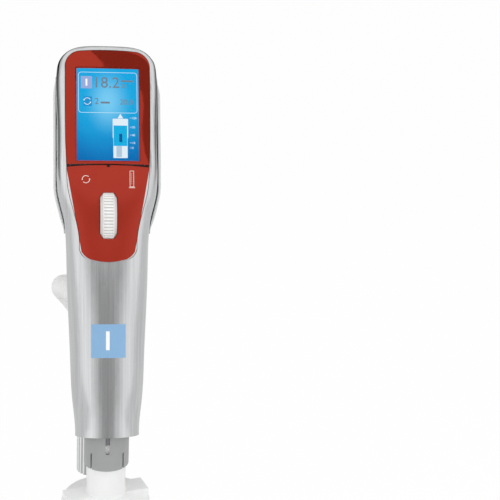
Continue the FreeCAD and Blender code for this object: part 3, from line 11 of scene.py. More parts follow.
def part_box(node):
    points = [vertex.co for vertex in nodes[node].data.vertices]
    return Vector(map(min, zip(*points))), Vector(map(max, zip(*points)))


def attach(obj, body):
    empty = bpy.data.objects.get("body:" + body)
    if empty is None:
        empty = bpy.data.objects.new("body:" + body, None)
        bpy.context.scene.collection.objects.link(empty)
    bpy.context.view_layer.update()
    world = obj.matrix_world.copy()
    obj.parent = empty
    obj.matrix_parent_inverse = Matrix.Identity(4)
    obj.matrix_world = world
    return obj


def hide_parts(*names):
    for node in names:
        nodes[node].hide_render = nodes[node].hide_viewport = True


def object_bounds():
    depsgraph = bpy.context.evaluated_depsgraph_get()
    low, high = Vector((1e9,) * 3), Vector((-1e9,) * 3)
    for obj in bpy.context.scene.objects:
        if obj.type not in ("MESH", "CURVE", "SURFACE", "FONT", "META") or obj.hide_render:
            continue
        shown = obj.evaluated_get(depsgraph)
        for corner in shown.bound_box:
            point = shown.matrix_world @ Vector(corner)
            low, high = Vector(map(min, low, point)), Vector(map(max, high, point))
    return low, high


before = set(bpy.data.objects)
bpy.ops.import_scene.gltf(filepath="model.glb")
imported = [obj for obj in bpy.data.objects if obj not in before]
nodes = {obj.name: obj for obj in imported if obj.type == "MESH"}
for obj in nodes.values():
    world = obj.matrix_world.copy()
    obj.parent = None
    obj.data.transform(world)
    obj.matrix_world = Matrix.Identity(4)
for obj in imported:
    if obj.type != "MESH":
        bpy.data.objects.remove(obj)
cad_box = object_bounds()

# ---------------------------------------------------------------- the camera
# It looks at the front of the leaning handle from a metre away, so the handle's own frame comes
# first: its spine starts at the nozzle and leans back. Three small turns then set the framing.

foot = Vector((0.0, -0.1033334, -0.2244912))
lean = math.radians(18)
handle = Matrix.Translation(foot) @ Matrix.Rotation(-lean, 4, "X")

aim = handle @ Vector((0.0, -0.021, 0.150))
round_by, rise_by, distance = math.radians(-3), math.radians(18), 1.05
outward = Vector((
    math.sin(round_by) * math.cos(rise_by),
    -math.cos(round_by) * math.cos(rise_by),
    math.sin(rise_by),
))
look = (-outward).to_track_quat("-Z", "Y")
pan, tilt, roll = -6.152, 0.086, 0.95
for axis, degrees in (((0, 1, 0), pan), ((1, 0, 0), tilt), ((0, 0, 1), roll)):
    look = look @ Quaternion(axis, math.radians(degrees))
camera = bpy.data.objects.new("camera", bpy.data.cameras.new("camera"))
camera.data.sensor_width, camera.data.lens = 36.0, 94.5
camera.data.clip_start, camera.data.clip_end = 0.05, 20.0
camera.matrix_world = Matrix.Translation(aim + distance * outward) @ look.to_matrix().to_4x4()
bpy.context.scene.collection.objects.link(camera)
bpy.context.scene.camera = camera
bpy.context.scene.view_settings.view_transform = "Standard"

# ---------------------------------------------------------------- the hose
# A pale corrugated plastic hose, pushed on the inlet's nut behind the handle. It is stiff enough
# to stand up from the nut, bows over to the left and hangs down behind, with its plug at the end.


def new_piece(name, bm):
    """A piece of the scene, from a bmesh that is done with. Its faces go in the order of their
    corners, because the operators can make them in another order each time."""
    bm.verts.index_update()
    for place, face in enumerate(sorted(bm.faces, key=lambda f: sorted(v.index for v in f.verts))):
        face.index = place
    bm.faces.sort()
    piece = bpy.data.objects.new(name, bpy.data.meshes.new(name))
    bm.to_mesh(piece.data)
    bm.free()
    bpy.context.scene.collection.objects.link(piece)
    return piece


# The hose's line passes near these points, in millimetres from the foot of the handle.
route_mm = (
    (-6.5, 64, 35), (-6.5, 64, 55), (-11, 71.5, 73), (-18.5, 85.5, 85), (-27, 103, 89),
    (-33.5, 121.5, 85), (-33.5, 143, 75), (-25, 160, 60), (-14, 167, 40.5), (-9.5, 167.5, 18),
    (-5.5, 168, -8), (-2, 169, -34), (1, 169.5, -60), (2, 168.5, -86),
)
line = bpy.data.curves.new("hose_line", "CURVE")
line.dimensions, line.resolution_u = "3D", 24
spline = line.splines.new("NURBS")
spline.points.add(len(route_mm) - 1)
for point, place in zip(spline.points, route_mm):
    point.co = (*(foot + Vector(place) * 0.001), 1)
spline.order_u, spline.use_endpoint_u = 3, True
line_object = bpy.data.objects.new("hose_line", line)
hose_line = [v.co.copy() for v in bpy.data.meshes.new_from_object(line_object).vertices]
bpy.data.objects.remove(line_object)

# One turn of the wall runs from a crest down into a groove and up to the next crest. Each entry of
# the wave is a share of the way along the turn, and how near the wall is to its crest there.
hose_radius, groove_depth, hose_pitch, hose_sides = 0.0105, 0.0009, 0.0030, 40
steps = [(b - a).length for a, b in zip(hose_line, hose_line[1:])]
hose_length = sum(steps)
turns = round(hose_length / hose_pitch)
wave = ((0.0, 1.0), (0.16, 0.25), (0.34, 0.0), (0.52, 0.25), (0.68, 1.0), (0.84, 1.0))

bm = bmesh.new()
wall = []
for turn in range(turns):
    for share, crest in wave:
        z = (turn + share) * hose_length / turns
        wall.append(bm.verts.new((hose_radius - groove_depth * (1 - crest), 0, z)))
wall.append(bm.verts.new((hose_radius, 0, hose_length)))
edges = [bm.edges.new(pair) for pair in zip(wall, wall[1:])]
bmesh.ops.spin(bm, geom=wall + edges, cent=(0, 0, 0), axis=(0, 0, 1), angle=2 * math.pi,
               steps=hose_sides, use_merge=True)
bmesh.ops.remove_doubles(bm, verts=bm.verts, dist=1e-6)
bmesh.ops.holes_fill(bm, edges=[e for e in bm.edges if e.is_boundary])
bmesh.ops.recalc_face_normals(bm, faces=bm.faces)

# Each ring of the straight hose moves on to the line, turned as little as possible on the way.
ahead = [(b - a).normalized() for a, b in zip(hose_line, hose_line[1:])]
ahead.append(ahead[-1])
turned = [ahead[0].to_track_quat("Z", "X")]
for before, here in zip(ahead, ahead[1:]):
    turned.append(before.rotation_difference(here) @ turned[-1])
reached = [0.0]
for step in steps:
    reached.append(reached[-1] + step)
along_layer = bm.verts.layers.float.new("along")
spots = {}
for vert in bm.verts:
    z = vert.co.z
    key = round(z, 7)
    if key not in spots:
        i = max(k for k in range(len(steps)) if reached[k] <= z + 1e-9)
        share = min((z - reached[i]) / steps[i], 1.0)
        centre = hose_line[i].lerp(hose_line[i + 1], share)
        spots[key] = (centre, turned[i].slerp(turned[i + 1], share))
    spot, quat = spots[key]
    vert[along_layer] = z
    vert.co = spot + quat @ Vector((vert.co.x, vert.co.y, 0))
for face in bm.faces:
    face.smooth = True
hose = new_piece("corrugated_hose", bm)
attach(hose, "handset")
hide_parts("hose")


class Signal:
    """What comes out of a shader's node. Sums of signals make their own nodes."""

    def __init__(self, shader, socket):
        self.shader, self.socket = shader, socket

    def maths(self, operation, *others):
        """This signal, with others where the operation takes them."""
        return self.shader.node("Math", {"operation": operation}, dict(enumerate((self, *others))))

    def __add__(self, other):
        return self.maths("ADD", other)

    def __sub__(self, other):
        return self.maths("SUBTRACT", other)

    def __rsub__(self, other):
        return self.shader.node("Math", {"operation": "SUBTRACT"}, {0: other, 1: self})

    def __mul__(self, other):
        return self.maths("MULTIPLY", other)

    def __truediv__(self, other):
        return self.maths("DIVIDE", other)

    def __pow__(self, other):
        return self.maths("POWER", other)

    def __gt__(self, other):
        return self.maths("GREATER_THAN", other)

    def __lt__(self, other):
        return self.maths("LESS_THAN", other)

    def __abs__(self):
        return self.maths("ABSOLUTE")

    def __neg__(self):
        return self.maths("MULTIPLY", -1.0)

    __radd__, __rmul__ = __add__, __mul__

    def either(self, other):
        """The larger of the two."""
        return self.maths("MAXIMUM", other)

    def ease(self, start, end):
        """0 up to start, 1 from end, smooth between."""
        values = {0: self, 1: start, 2: end, 3: 0.0, 4: 1.0}
        return self.shader.node("MapRange", {"interpolation_type": "SMOOTHSTEP"}, values)


class Shader:
    """The shader of a finish or of the room, with one method that makes all its nodes."""

    def __init__(self, tree):
        self.tree = tree

    def node(self, kind, settings, values, out=0):
        """A new node: its settings, and a value or a signal for each input that is given."""
        made = self.tree.nodes.new("ShaderNode" + kind)
        for name, value in settings.items():
            if name == "stops":
                for position, _ in value[1:-1]:
                    made.color_ramp.elements.new(position)
                for stop, (position, colour) in zip(made.color_ramp.elements, value):
                    stop.position, stop.color = position, colour
            else:
                setattr(made, name, value)
        for key, value in values.items():
            if isinstance(value, Signal):
                self.tree.links.new(value.socket, made.inputs[key])
            else:
                made.inputs[key].default_value = value
        return Signal(self, made.outputs[out]) if made.outputs else None

    def rays(self):
        """Whether a ray comes from the camera, from gloss or through glass."""
        return [self.node("LightPath", {}, {}, out="Is %s Ray" % kind)
                for kind in ("Camera", "Glossy", "Transmission")]

    def spot(self, centre=(0, 0, 0), turn=(0, 0, 0), size=(1, 1, 1)):
        """Object coordinates, about a centre, in a turned frame and in units of a size."""
        place = self.node("TexCoord", {}, {}, out="Object")
        return self.node("Mapping", {"vector_type": "TEXTURE"}, {0: place, 1: centre, 2: turn, 3: size})

    def noise(self, place, scale, detail=3.0):
        return self.node("TexNoise", {}, {"Vector": place, "Scale": scale, "Detail": detail})

    def split(self, place):
        """The three coordinates of a place."""
        return [self.node("SeparateXYZ", {}, {0: place}, out=i) for i in range(3)]

    def mix(self, share, first, second):
        return self.node("Mix", {"data_type": "RGBA"}, {0: share, 6: first, 7: second}, out=2)


def paint(red, green, blue):
    """A paint's shader colour, from the levels that a colour card gives it."""
    levels = [c / 255 for c in (red, green, blue)]
    return (*(c / 12.92 if c <= 0.04045 else ((c + 0.055) / 1.055) ** 2.4 for c in levels), 1.0)


class Finish(Shader):
    """A surface finish: the plain values of its skin, and the signals that vary them."""

    def __init__(self, name, colour, roughness, **plain):
        self.material = bpy.data.materials.new(name)
        self.material.use_nodes = True
        super().__init__(self.material.node_tree)
        self.skin = self.tree.nodes["Principled BSDF"].inputs
        self.colour = colour
        self.skin["Base Color"].default_value = colour
        self.skin["Roughness"].default_value = roughness
        for socket, value in plain.items():
            self.skin[socket.replace("_", " ")].default_value = value

    def feed(self, socket, signal):
        self.tree.links.new(signal.socket, self.skin[socket])

    def shade(self, share, darkest, lightest=1.0):
        """The finish's colour, from a darker tone to a lighter one as share goes from 0 to 1."""
        low, high = ([min(1.0, c * k) for c in self.colour[:3]] + [1.0] for k in (darkest, lightest))
        self.feed("Base Color", self.mix(share, low, high))

    def relief(self, height, depth, strength=1.0):
        """Raises the surface by a height signal times a depth in metres."""
        bump = self.node("Bump", {}, {"Strength": strength, "Distance": depth, "Height": height})
        self.feed("Normal", bump)

    def on(self, *pieces):
        """Puts this finish on CAD nodes, by name, or on new pieces."""
        for piece in pieces:
            piece = nodes[piece] if isinstance(piece, str) else piece
            if not piece.material_slots:
                piece.data.materials.append(self.material)
            for slot in piece.material_slots:
                slot.material = self.material


ribbed = Finish("pale_ribbed_hose", (0.97, 0.97, 0.965, 1), 0.42, Coat_Weight=0.1)
along = ribbed.node("Attribute", {"attribute_name": "along"}, {}, out="Fac")
# Painted shade: the colour is darker round the groove of each turn of the corrugation, with a little
# random tone.
hose_groove_shade = abs((along * (turns / hose_length)).maths("FRACT") - 0.5) * 2
dust = ribbed.noise(ribbed.spot(), 60)
ribbed.shade(hose_groove_shade * 0.9 + dust * 0.1, 0.84, 1.03)
ribbed.relief(ribbed.noise(ribbed.spot(), 900), 0.00005, 0.4)
ribbed.on(hose)

# ---------------------------------------------------------------- the room and its light
# A small room, white to the eye and evenly lit. Gloss sees its walls: dim straight ahead and behind,
# bright at both sides and overhead, with a black flag above and to the right.

world = bpy.data.worlds.new("studio")
world.use_nodes = True
world.node_tree.nodes.clear()
room = Shader(world.node_tree)
to_camera, to_gloss, to_glass = room.rays()
x, y, z = room.split(room.node("TexCoord", {}, {}, out="Generated"))

# Where a ray goes, in radians: its bearing from the way that the display faces, and its height.
bearing, height = x.maths("ARCTAN2", -y), z.maths("ARCSINE")
off_front = abs(bearing)
round_back = off_front - 0.62 * bearing.ease(0.9, 1.4) - 0.3 * (-bearing).ease(0.9, 1.4)

# How bright the low wall is, from straight ahead and round by bearing. Each row has an amount, what
# it goes by, where it begins and from where all of it counts.
low_wall = 0.315
for amount, goes_by, start, end in (
    (0.575, off_front, 0.12, 0.85),
    (0.07, -bearing, 0.5, 1.1),
    (-0.3, round_back, 1.3, 1.75),
    (-0.45, round_back, 1.75, 2.3),
):
    low_wall = low_wall + amount * goes_by.ease(start, end)
less_at_sides = 0.22 * off_front.ease(1.1, 1.6) + 0.1 * off_front.ease(1.5, 2.0)
low_wall = low_wall - (-height).ease(-0.2, 0.0) * less_at_sides

# Overhead it is brighter, but for a dim patch behind. The two meet above the eye's height.
overhead, less_behind = 0.86, 0.42
high_wall = overhead - less_behind * y.ease(0.28, 0.5) * (1 - abs(x).ease(0.1, 0.45))
walls = low_wall + (high_wall - low_wall) * height.ease(0.33, 0.47)

# The flag begins at one height above the camera and lower to the right. Its left edge is straight,
# and it fades out overhead.
flag_foot = height.ease(0.745, 0.755).either((height + bearing * 0.47).ease(0.91, 0.92))
flag_edge = (x + y * 0.141 + z * 0.097).ease(-0.004, 0.004)
flag = flag_foot * flag_edge * (1 - y.ease(-0.28, -0.14))
flag_strength = 0.95
gloss = walls * (1 - flag_strength * flag)

# The eye sees plain white. All other light, apart from gloss, finds an even and dimmer room.
plain_level = 0.66
level = plain_level + (1 - plain_level) * to_camera.either(to_glass)
level = level * (1 - to_gloss) + gloss * to_gloss
room.node("OutputWorld", {}, {0: room.node("Background", {}, {0: (1, 1, 1, 1), 1: level})})
bpy.context.scene.world = world

# Three soft lamp boxes, left, right and above, which gloss doesn't see.
for name, place, size, power in (
    ("box_left", (-1.1, -0.9, 0.3), (0.6, 1.4), 5),
    ("box_right", (1.1, -0.9, 0.3), (0.6, 1.4), 5),
    ("box_above", (0.0, -0.4, 1.3), (1.2, 0.8), 4),
):
    lamp = bpy.data.lights.new(name, "AREA")
    lamp.shape, lamp.size, lamp.size_y, lamp.energy = "RECTANGLE", *size, power
    box = bpy.data.objects.new(name, lamp)
    facing = (aim - Vector(place)).to_track_quat("-Z", "Y")
    box.matrix_world = Matrix.Translation(place) @ facing.to_matrix().to_4x4()
    box.visible_glossy = False
    bpy.context.scene.collection.objects.link(box)

# ---------------------------------------------------------------- the floor
# A matt white sheet just below the lowest point of the object. The eye sees it white, with the
# object's shadow on it. Gloss sees it darker, and darker still far behind.

half_size, gap_below = 8.0, 0.001
bm = bmesh.new()
bmesh.ops.create_grid(bm, x_segments=1, y_segments=1, size=half_size)
bmesh.ops.translate(bm, verts=bm.verts, vec=(0, 0, cad_box[0].z - gap_below))
floor = new_piece("floor", bm)
sweep = Finish("pale_sweep", (0.9, 0.9, 0.9, 1), 0.9)
to_camera, to_gloss, to_glass = sweep.rays()
seen = to_camera.either(to_glass) * 0.97 + to_gloss
_, far_behind, _ = sweep.split(sweep.spot())
dimmed = 0.34 + 0.56 * far_behind.ease(1.3, 2.3)
glow = sweep.node("Emission", {}, {0: (1, 1, 1, 1), 1: 1 - to_gloss * dimmed})
shadowed = Signal(sweep, sweep.tree.nodes["Principled BSDF"].outputs[0])
sheet = sweep.node("MixShader", {}, {0: seen, 1: shadowed, 2: glow})
sweep.tree.links.new(sheet.socket, sweep.tree.nodes["Material Output"].inputs[0])
sweep.on(floor)

# ---------------------------------------------------------------- the two shells
# Moulded halves of the handle and head, sprayed with a silver metallic lacquer and brushed
# lengthwise, then screwed together from behind.

along_handle = {"centre": foot, "turn": (-lean, 0, 0)}
brushed = Finish("brushed_silver", paint(228, 229, 230), 0.20, Metallic=1.0)
streak = brushed.noise(brushed.spot(**along_handle, size=(0.0005, 0.0005, 0.05)), 1.0, 4.0)
cloud = brushed.noise(brushed.spot(**along_handle, size=(0.02, 0.02, 0.08)), 1.0, 2.0)
band = brushed.noise(brushed.spot(**along_handle, size=(0.0022, 0.0022, 0.3)), 1.0, 3.0)
worn, bright = (0.52, 0.53, 0.54, 1), (0.98, 0.985, 0.99, 1)
brushed.feed("Base Color", brushed.mix(streak * 0.3 + cloud * 0.1 + band * 0.6, worn, bright))
brushed.feed("Roughness", 0.13 + streak * 0.1)
brushed.relief(streak, 0.00002, 0.5)
brushed.on("front_shell", "rear_shell")

# ---------------------------------------------------------------- the fascia
# Two thin covers in deep red metallic lacquer: the bezel round the display, and below the seam the
# panel that rocks on its pins. The panel's edge is left silver outside the lacquer's outline.

lacquer = Finish("red_lacquer", (0.40, 0.033, 0.017, 1), 0.07, Metallic=0.55, Specular_IOR_Level=0.2)
flake = lacquer.noise(lacquer.spot(), 4000, 1.0)
smear = lacquer.noise(lacquer.spot(size=(1, 1, 0.4)), 35, 3.0)

# The outline, in millimetres from the handle's spine and up it: sides that draw in on a straight
# line, and a round foot.
millimetres = (0.001, 0.001, 0.001)
across, _, rise = lacquer.split(lacquer.spot(**along_handle, size=millimetres))
side = abs(across)
outside = (side > rise * 0.176 - 4.84) * (rise < 214.3)
foot_rise, foot_width, foot_height, roundness = 156.0, 22.9, 16.2, 2.4
below = (foot_rise - rise).either(0.0) / foot_height
under_foot = (((side / foot_width) ** roundness + below ** roundness) > 1.0) * (rise < foot_rise)
bare_edge = outside.either(under_foot)

# The seam, a shallow arch between the two covers, and a half-round finger notch below it, both painted
# near black: a painted shadow in the gap and in the notch.
seam_line = abs(rise - 218.0 + side * side * 0.0014) < 0.55
notch = (side * side + (rise - 216.9) * (rise - 216.9)) < 1.5
painted_seam_shadow = seam_line.either(notch)

deep_red, light_red = (0.368, 0.0304, 0.0156, 1), (0.432, 0.0356, 0.0184, 1)
red = lacquer.mix(flake * 0.5 + smear * 0.5, deep_red, light_red)
edged = lacquer.mix(bare_edge, red, paint(228, 229, 230))
lacquer.feed("Base Color", lacquer.mix(painted_seam_shadow, edged, (0.006, 0.004, 0.004, 1)))
sheen = 0.25 + 0.3 * (rise > 217.0)
lacquer.feed("Metallic", (sheen + bare_edge * (1 - sheen)) * (1 - painted_seam_shadow))
lacquer.feed("Roughness", 0.03 + smear * 0.04 + bare_edge * 0.13 + painted_seam_shadow * 0.4)
lacquer.on("display_bezel", "control_panel")

# ---------------------------------------------------------------- the seals
# Black rubber O-rings on the filter's spigot and the hose's plug, and a softer grey gasket that is
# cut from sheet and lies under the edge of the fascia.

rubber = Finish("black_rubber", (0.02, 0.02, 0.022, 1), 0.6)
rubber.relief(rubber.noise(rubber.spot(), 1500), 0.00003, 0.4)
rubber.on("spigot_ring_upper", "spigot_ring_lower", "connector_ring")
grey_rubber = Finish("grey_rubber", (0.42, 0.42, 0.425, 1), 0.5)
grey_rubber.relief(grey_rubber.noise(grey_rubber.spot(), 1500), 0.00003, 0.4)
grey_rubber.shade(grey_rubber.noise(grey_rubber.spot(), 200), 0.9)
grey_rubber.on("fascia_gasket")

# ---------------------------------------------------------------- the display
# A lit colour panel behind a clear window that lies flush in the bezel. It shows readings in plain
# numbers, a pair of round arrows, and a filter's gauge with its scale.

head_bend = math.radians(8)
head_foot = Matrix.Translation((0, 0.002788, 0.224870))
head = handle @ head_foot @ Matrix.Rotation(-head_bend, 4, "X")
screen_middle, screen_half = Vector((0, -0.0143, 0.03155)), Vector((0.02585, 0, 0.03865))
panel_frame = head @ Matrix.Translation(screen_middle)

window = Finish("clear_window", (1, 1, 1, 1), 0.02, Transmission_Weight=1.0, IOR=1.1)
window.relief(window.noise(window.spot(), 300), 0.000002, 0.2)
window.on("display_lens")

# The panel's light is blue, deeper at the foot and in its lower corners, and palest above the
# middle. Only its front face shines, as far as just behind the window's edge.
lit = Finish("lit_display", (0, 0, 0, 1), 0.5, Emission_Strength=1.0, Specular_IOR_Level=0.0)
across, inward, up = lit.split(lit.spot(panel_frame.to_translation(), panel_frame.to_euler()))
u, v = across / screen_half.x, up / screen_half.z
blues = (
    (0.0, paint(12, 108, 178)), (0.12, paint(18, 128, 196)), (0.35, paint(26, 156, 216)),
    (0.6, paint(30, 168, 224)), (1.0, paint(24, 166, 226)),
)
fall = lit.node("ValToRGB", {"stops": blues}, {0: v * 0.5 + 0.5})
palest = (1 - ((u * u + (v - 0.3) * (v - 0.3)) ** 0.5).ease(0.0, 0.8)) * 0.8
corner = (abs(u) - v * 0.6).ease(0.7, 1.7) * 0.5
shown = lit.mix(corner, lit.mix(palest, fall, paint(133, 211, 247)), paint(8, 92, 164))
front = (inward < 0.0002) * (abs(u) < 1.08) * (abs(v) < 1.06)
lit.feed("Emission Color", lit.mix(front, (0, 0, 0, 1), shown))
lit.on("display_module")


class Drawing:
    """A flat shape in millimetres, built up from plates, arcs and plain numbers."""

    def __init__(self, name, finish):
        self.name, self.finish, self.bm = name, finish, bmesh.new()

    def plate(self, x, z, width, height, radius=0.0):
        """A plate with round corners, about its middle."""
        made = bmesh.ops.create_grid(self.bm, x_segments=1, y_segments=1, size=0.5)["verts"]
        bmesh.ops.scale(self.bm, vec=(width, height, 1), verts=made)
        bmesh.ops.translate(self.bm, vec=(x, z, 0), verts=made)
        if radius:
            bmesh.ops.bevel(self.bm, geom=made, offset=radius, offset_type="OFFSET", segments=8,
                            profile=0.5, affect="VERTICES", material=-1)

    def outline(self, x, z, width, height, radius, line_width):
        """A line round a plate."""
        self.plate(x, z, width, height, radius)
        faces = list(self.bm.faces)[-1:]
        bmesh.ops.inset_region(self.bm, faces=faces, thickness=line_width, use_even_offset=True,
                               use_boundary=True)
        bmesh.ops.delete(self.bm, geom=faces, context="FACES")

    def arc(self, x, z, radius, line_width, start, sweep_by, arrow):
        """Part of a ring, with an arrow's head at its end."""
        inner = self.bm.verts.new((x + (radius - line_width / 2), z, 0))
        outer = self.bm.verts.new((x + (radius + line_width / 2), z, 0))
        edge = self.bm.edges.new((inner, outer))
        bmesh.ops.rotate(self.bm, verts=(inner, outer), cent=(x, z, 0),
                         matrix=Matrix.Rotation(start, 3, "Z"))
        bmesh.ops.spin(self.bm, geom=(inner, outer, edge), cent=(x, z, 0), axis=(0, 0, 1),
                       angle=sweep_by, steps=20)
        end = start + sweep_by
        self.point(x + math.cos(end) * radius, z + math.sin(end) * radius, arrow, end)

    def point(self, x, z, size, turn=0.0):
        """A three-cornered point, which looks up before it is turned."""
        made = bmesh.ops.create_circle(self.bm, cap_ends=True, segments=3, radius=size)["verts"]
        bmesh.ops.rotate(self.bm, verts=made, cent=(0, 0, 0), matrix=Matrix.Rotation(turn, 3, "Z"))
        bmesh.ops.translate(self.bm, vec=(x, z, 0), verts=made)

    def number(self, text, x, z, size):
        """Plain figures, from the left end of their base line."""
        words = bpy.data.curves.new("figures", "FONT")
        words.body, words.size, words.resolution_u, words.offset = text, size, 3, 0.02
        carrier = bpy.data.objects.new("figures", words)
        bpy.context.scene.collection.objects.link(carrier)
        bpy.context.view_layer.update()
        made = bpy.data.meshes.new_from_object(carrier)
        bpy.data.objects.remove(carrier)
        made.transform(Matrix.Translation((x, z, 0)))
        self.bm.from_mesh(made)

    def place(self, body, slot):
        """Makes the shape a piece of the scene, on a body."""
        piece = new_piece(self.name, self.bm)
        self.finish.on(piece)
        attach(piece, body)


class Picture(Drawing):
    """A lit shape, drawn from the middle of the window, a lift in front of the display's panel."""

    def __init__(self, name, colour, lift=0.04):
        light = Finish(name + "_light", (0, 0, 0, 1), 0.5, Emission_Color=colour,
                       Emission_Strength=1.0, Specular_IOR_Level=0.0)
        super().__init__(name, light)
        self.lift = lift

    def show(self):
        """Stands the shape up on the display."""
        for face in self.bm.faces:
            if face.normal.z < 0:
                face.normal_flip()
        layer = Matrix.Translation((0, -self.lift * 0.001, 0))
        upright = Matrix.Rotation(math.pi / 2, 4, "X")
        to_panel = panel_frame @ layer @ upright @ Matrix.Scale(0.001, 4)
        bmesh.ops.transform(self.bm, matrix=to_panel, verts=self.bm.verts)
        self.place("handset", "screen")


reading_box = Picture("reading_box", paint(190, 228, 247))
reading_box.outline(0.2, 18.9, 47.4, 33.8, 2.6, 0.45)
reading_box.show()

# The readings' box holds a tile for the water's grade and one for its flow, each with its sign.
grade_tile = Picture("grade_tile", paint(152, 172, 219))
grade_tile.plate(-16.9, 27.2, 8.9, 10.2, 0.3)
grade_tile.show()
grade_bar = Picture("grade_bar", paint(250, 251, 253), lift=0.06)
grade_bar.plate(-16.9, 27.2, 1.5, 5.8)
grade_bar.show()

readings = Picture("readings", paint(116, 130, 146))
readings.number("18.2", -12.1, 22.9, 12.8)
readings.number("2", -10.6, 9.2, 7.4)
readings.number("25", 11.0, 23.0, 4.4)
readings.number("20.0", 9.8, 9.2, 6.2)
readings.plate(-2.0, 10.6, 7.4, 1.6, 0.3)
readings.plate(15.8, 28.6, 10.0, 1.4, 0.3)
readings.show()

flow_arrows = Picture("flow_arrows", paint(222, 240, 250), lift=0.06)
for start in (0.5, 0.5 + math.pi):
    flow_arrows.arc(-16.3, 11.6, 2.7, 0.5, start, 2.3, arrow=0.8)
flow_arrows.show()
flow_tile = Picture("flow_tile", paint(34, 146, 208))
flow_tile.plate(-16.0, 11.5, 6.8, 8.2, 0.6)
flow_tile.show()

# Below the readings stands a filter's gauge, a pale body with a nib, and its scale beside it.
gauge_body = Picture("gauge_body", paint(226, 238, 246))
gauge_body.plate(10.1, -10.6, 12.4, 16.0, 0.6)
gauge_body.plate(10.1, -25.4, 11.4, 19.0, 0.4)
gauge_body.point(10.1, -1.0, 2.6)
gauge_body.show()
gauge_fill = Picture("gauge_fill", paint(24, 174, 226), lift=0.06)
gauge_fill.plate(10.1, -16.6, 11.0, 16.8, 0.3)
gauge_fill.show()
gauge_mark = Picture("gauge_mark", paint(18, 92, 150), lift=0.08)
gauge_mark.plate(10.3, -18.4, 2.4, 7.0, 0.3)
gauge_mark.show()
gauge_foot = Picture("gauge_foot", paint(176, 200, 220), lift=0.08)
gauge_foot.plate(9.0, -29.6, 4.4, 9.0, 0.3)
gauge_foot.show()

gauge_scale = Picture("gauge_scale", paint(214, 236, 248))
for figures, z in (("100", -2.6), ("70", -10.2), ("40", -16.6), ("10", -23.0), ("0", -27.2)):
    gauge_scale.number(figures, 19.4, z - 0.2, 2.5)
    gauge_scale.plate(18.4, z + 0.7, 1.4, 0.3)
gauge_scale.show()

# ---------------------------------------------------------------- signs on the panel
# Two white outlines, pad-printed on the red lacquer over the switches below it: a pair of round
# arrows and a measuring cylinder.


class Print(Drawing):
    """A flat shape printed on the curved face of a CAD node, drawn from the handle's foot."""

    def __init__(self, name, finish, node, slot, body):
        super().__init__(name, finish)
        self.slot, self.body = slot, body
        mesh = nodes[node].data
        corners, faces = [v.co for v in mesh.vertices], [p.vertices for p in mesh.polygons]
        self.face = BVHTree.FromPolygons(corners, faces)

    def show(self):
        """Drops the shape on the face below it, along the handle's depth, a hair proud of it."""
        bmesh.ops.triangulate(self.bm, faces=self.bm.faces)
        long_edges = [e for e in self.bm.edges if e.calc_length() > 2.0]
        bmesh.ops.subdivide_edges(self.bm, edges=long_edges, cuts=6, use_grid_fill=True)
        inward = (handle.to_3x3() @ Vector((0, 1, 0))).normalized()
        in_front, proud = -0.060, 0.00005
        for vert in self.bm.verts:
            start = handle @ Vector((vert.co.x * 0.001, in_front, vert.co.y * 0.001))
            hit = self.face.ray_cast(start, inward)[0]
            vert.co = hit - inward * proud
        for face in self.bm.faces:
            face.smooth = True
        self.place(self.body, self.slot)


ink = Finish("white_ink", paint(240, 214, 204), 0.4)
ink.shade(ink.noise(ink.spot(), 2500, 2.0), 0.9)
arrows = Print("arrow_sign", ink, "control_panel", "red_fascia", "rocker")
for start in (0.75, 0.75 + math.pi):
    arrows.arc(-17.8, 206.0, 2.9, 0.55, start, 2.45, arrow=0.75)
arrows.show()

# The cylinder's two sides, its lip and its two-part foot, and six marks up its scale.
cylinder = Print("cylinder_sign", ink, "control_panel", "red_fascia", "rocker")
for bar in (
    (17.2, 206.6, 0.45, 12.6), (20.2, 206.6, 0.45, 12.6), (18.7, 212.9, 3.4, 0.5),
    (18.8, 200.3, 3.8, 0.5), (18.8, 199.5, 4.9, 0.6),
):
    cylinder.plate(*bar)
for mark in range(6):
    cylinder.plate(18.4, 202.6 + mark * 1.6, 1.1, 0.35)
cylinder.show()

# ---------------------------------------------------------------- the thumb wheel
# A white nylon wheel with a ribbed tread, which opens the flow. It turns in a moulded carrier. The
# grooves of the tread, below its full radius, are painted a little darker, a painted shade.

wheel_low, wheel_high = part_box("thumb_wheel")
nylon = Finish("white_nylon", paint(248, 248, 246), 0.38)
_, back, up = nylon.split(nylon.spot((wheel_low + wheel_high) / 2, size=millimetres))
tread_groove_shade = ((back * back + up * up) ** 0.5).ease(22.15, 22.5)
nylon.shade(nylon.noise(nylon.spot(), 120) * 0.2 + tread_groove_shade * 0.8, 0.7)
nylon.relief(nylon.noise(nylon.spot(), 2500), 0.00001, 0.3)
nylon.on("thumb_wheel")

# ---------------------------------------------------------------- the grey mouldings
# Glass-filled nylon, moulded grey with a fine spark grain: the carrier, the nozzle's base, the
# union with its nut and ferrule, the valve's body and the two switches.

moulded = Finish("grey_moulding", paint(120, 122, 124), 0.5)
moulded.shade(moulded.noise(moulded.spot(), 90), 0.9, 1.05)
moulded.relief(moulded.noise(moulded.spot(), 2200), 0.00003, 0.5)
moulded.on("wheel_carrier", "nozzle_base", "inlet_union", "hose_nut", "hose_ferrule", "dispense_valve",
           "push_switch_left", "push_switch_right")

# ---------------------------------------------------------------- the side rails
# Bars of drawn and polished aluminium along both sides of the head. Each stands off the body and
# runs in to it at both ends, so it follows the body's axis and width. Under each lies a dark strip, a
# painted shadow in the gap between rail and body.


def smooth_step(value, start, end):
    share = min(max((value - start) / (end - start), 0.0), 1.0)
    return share * share * (3 - 2 * share)


def body_axis(along):
    """The body's axis in the handle's frame: place and tilt, at a length from the foot."""
    neck, bend_length = 0.185, 0.040
    radius = bend_length / head_bend
    tilt = min(max(along - neck, 0.0) / radius, head_bend)
    past = max(along - neck - bend_length, 0.0)
    back = radius * (1 - math.cos(tilt)) + past * math.sin(tilt)
    up = min(along, neck) + radius * math.sin(tilt) + past * math.cos(tilt)
    return Vector((0, back, up)), tilt


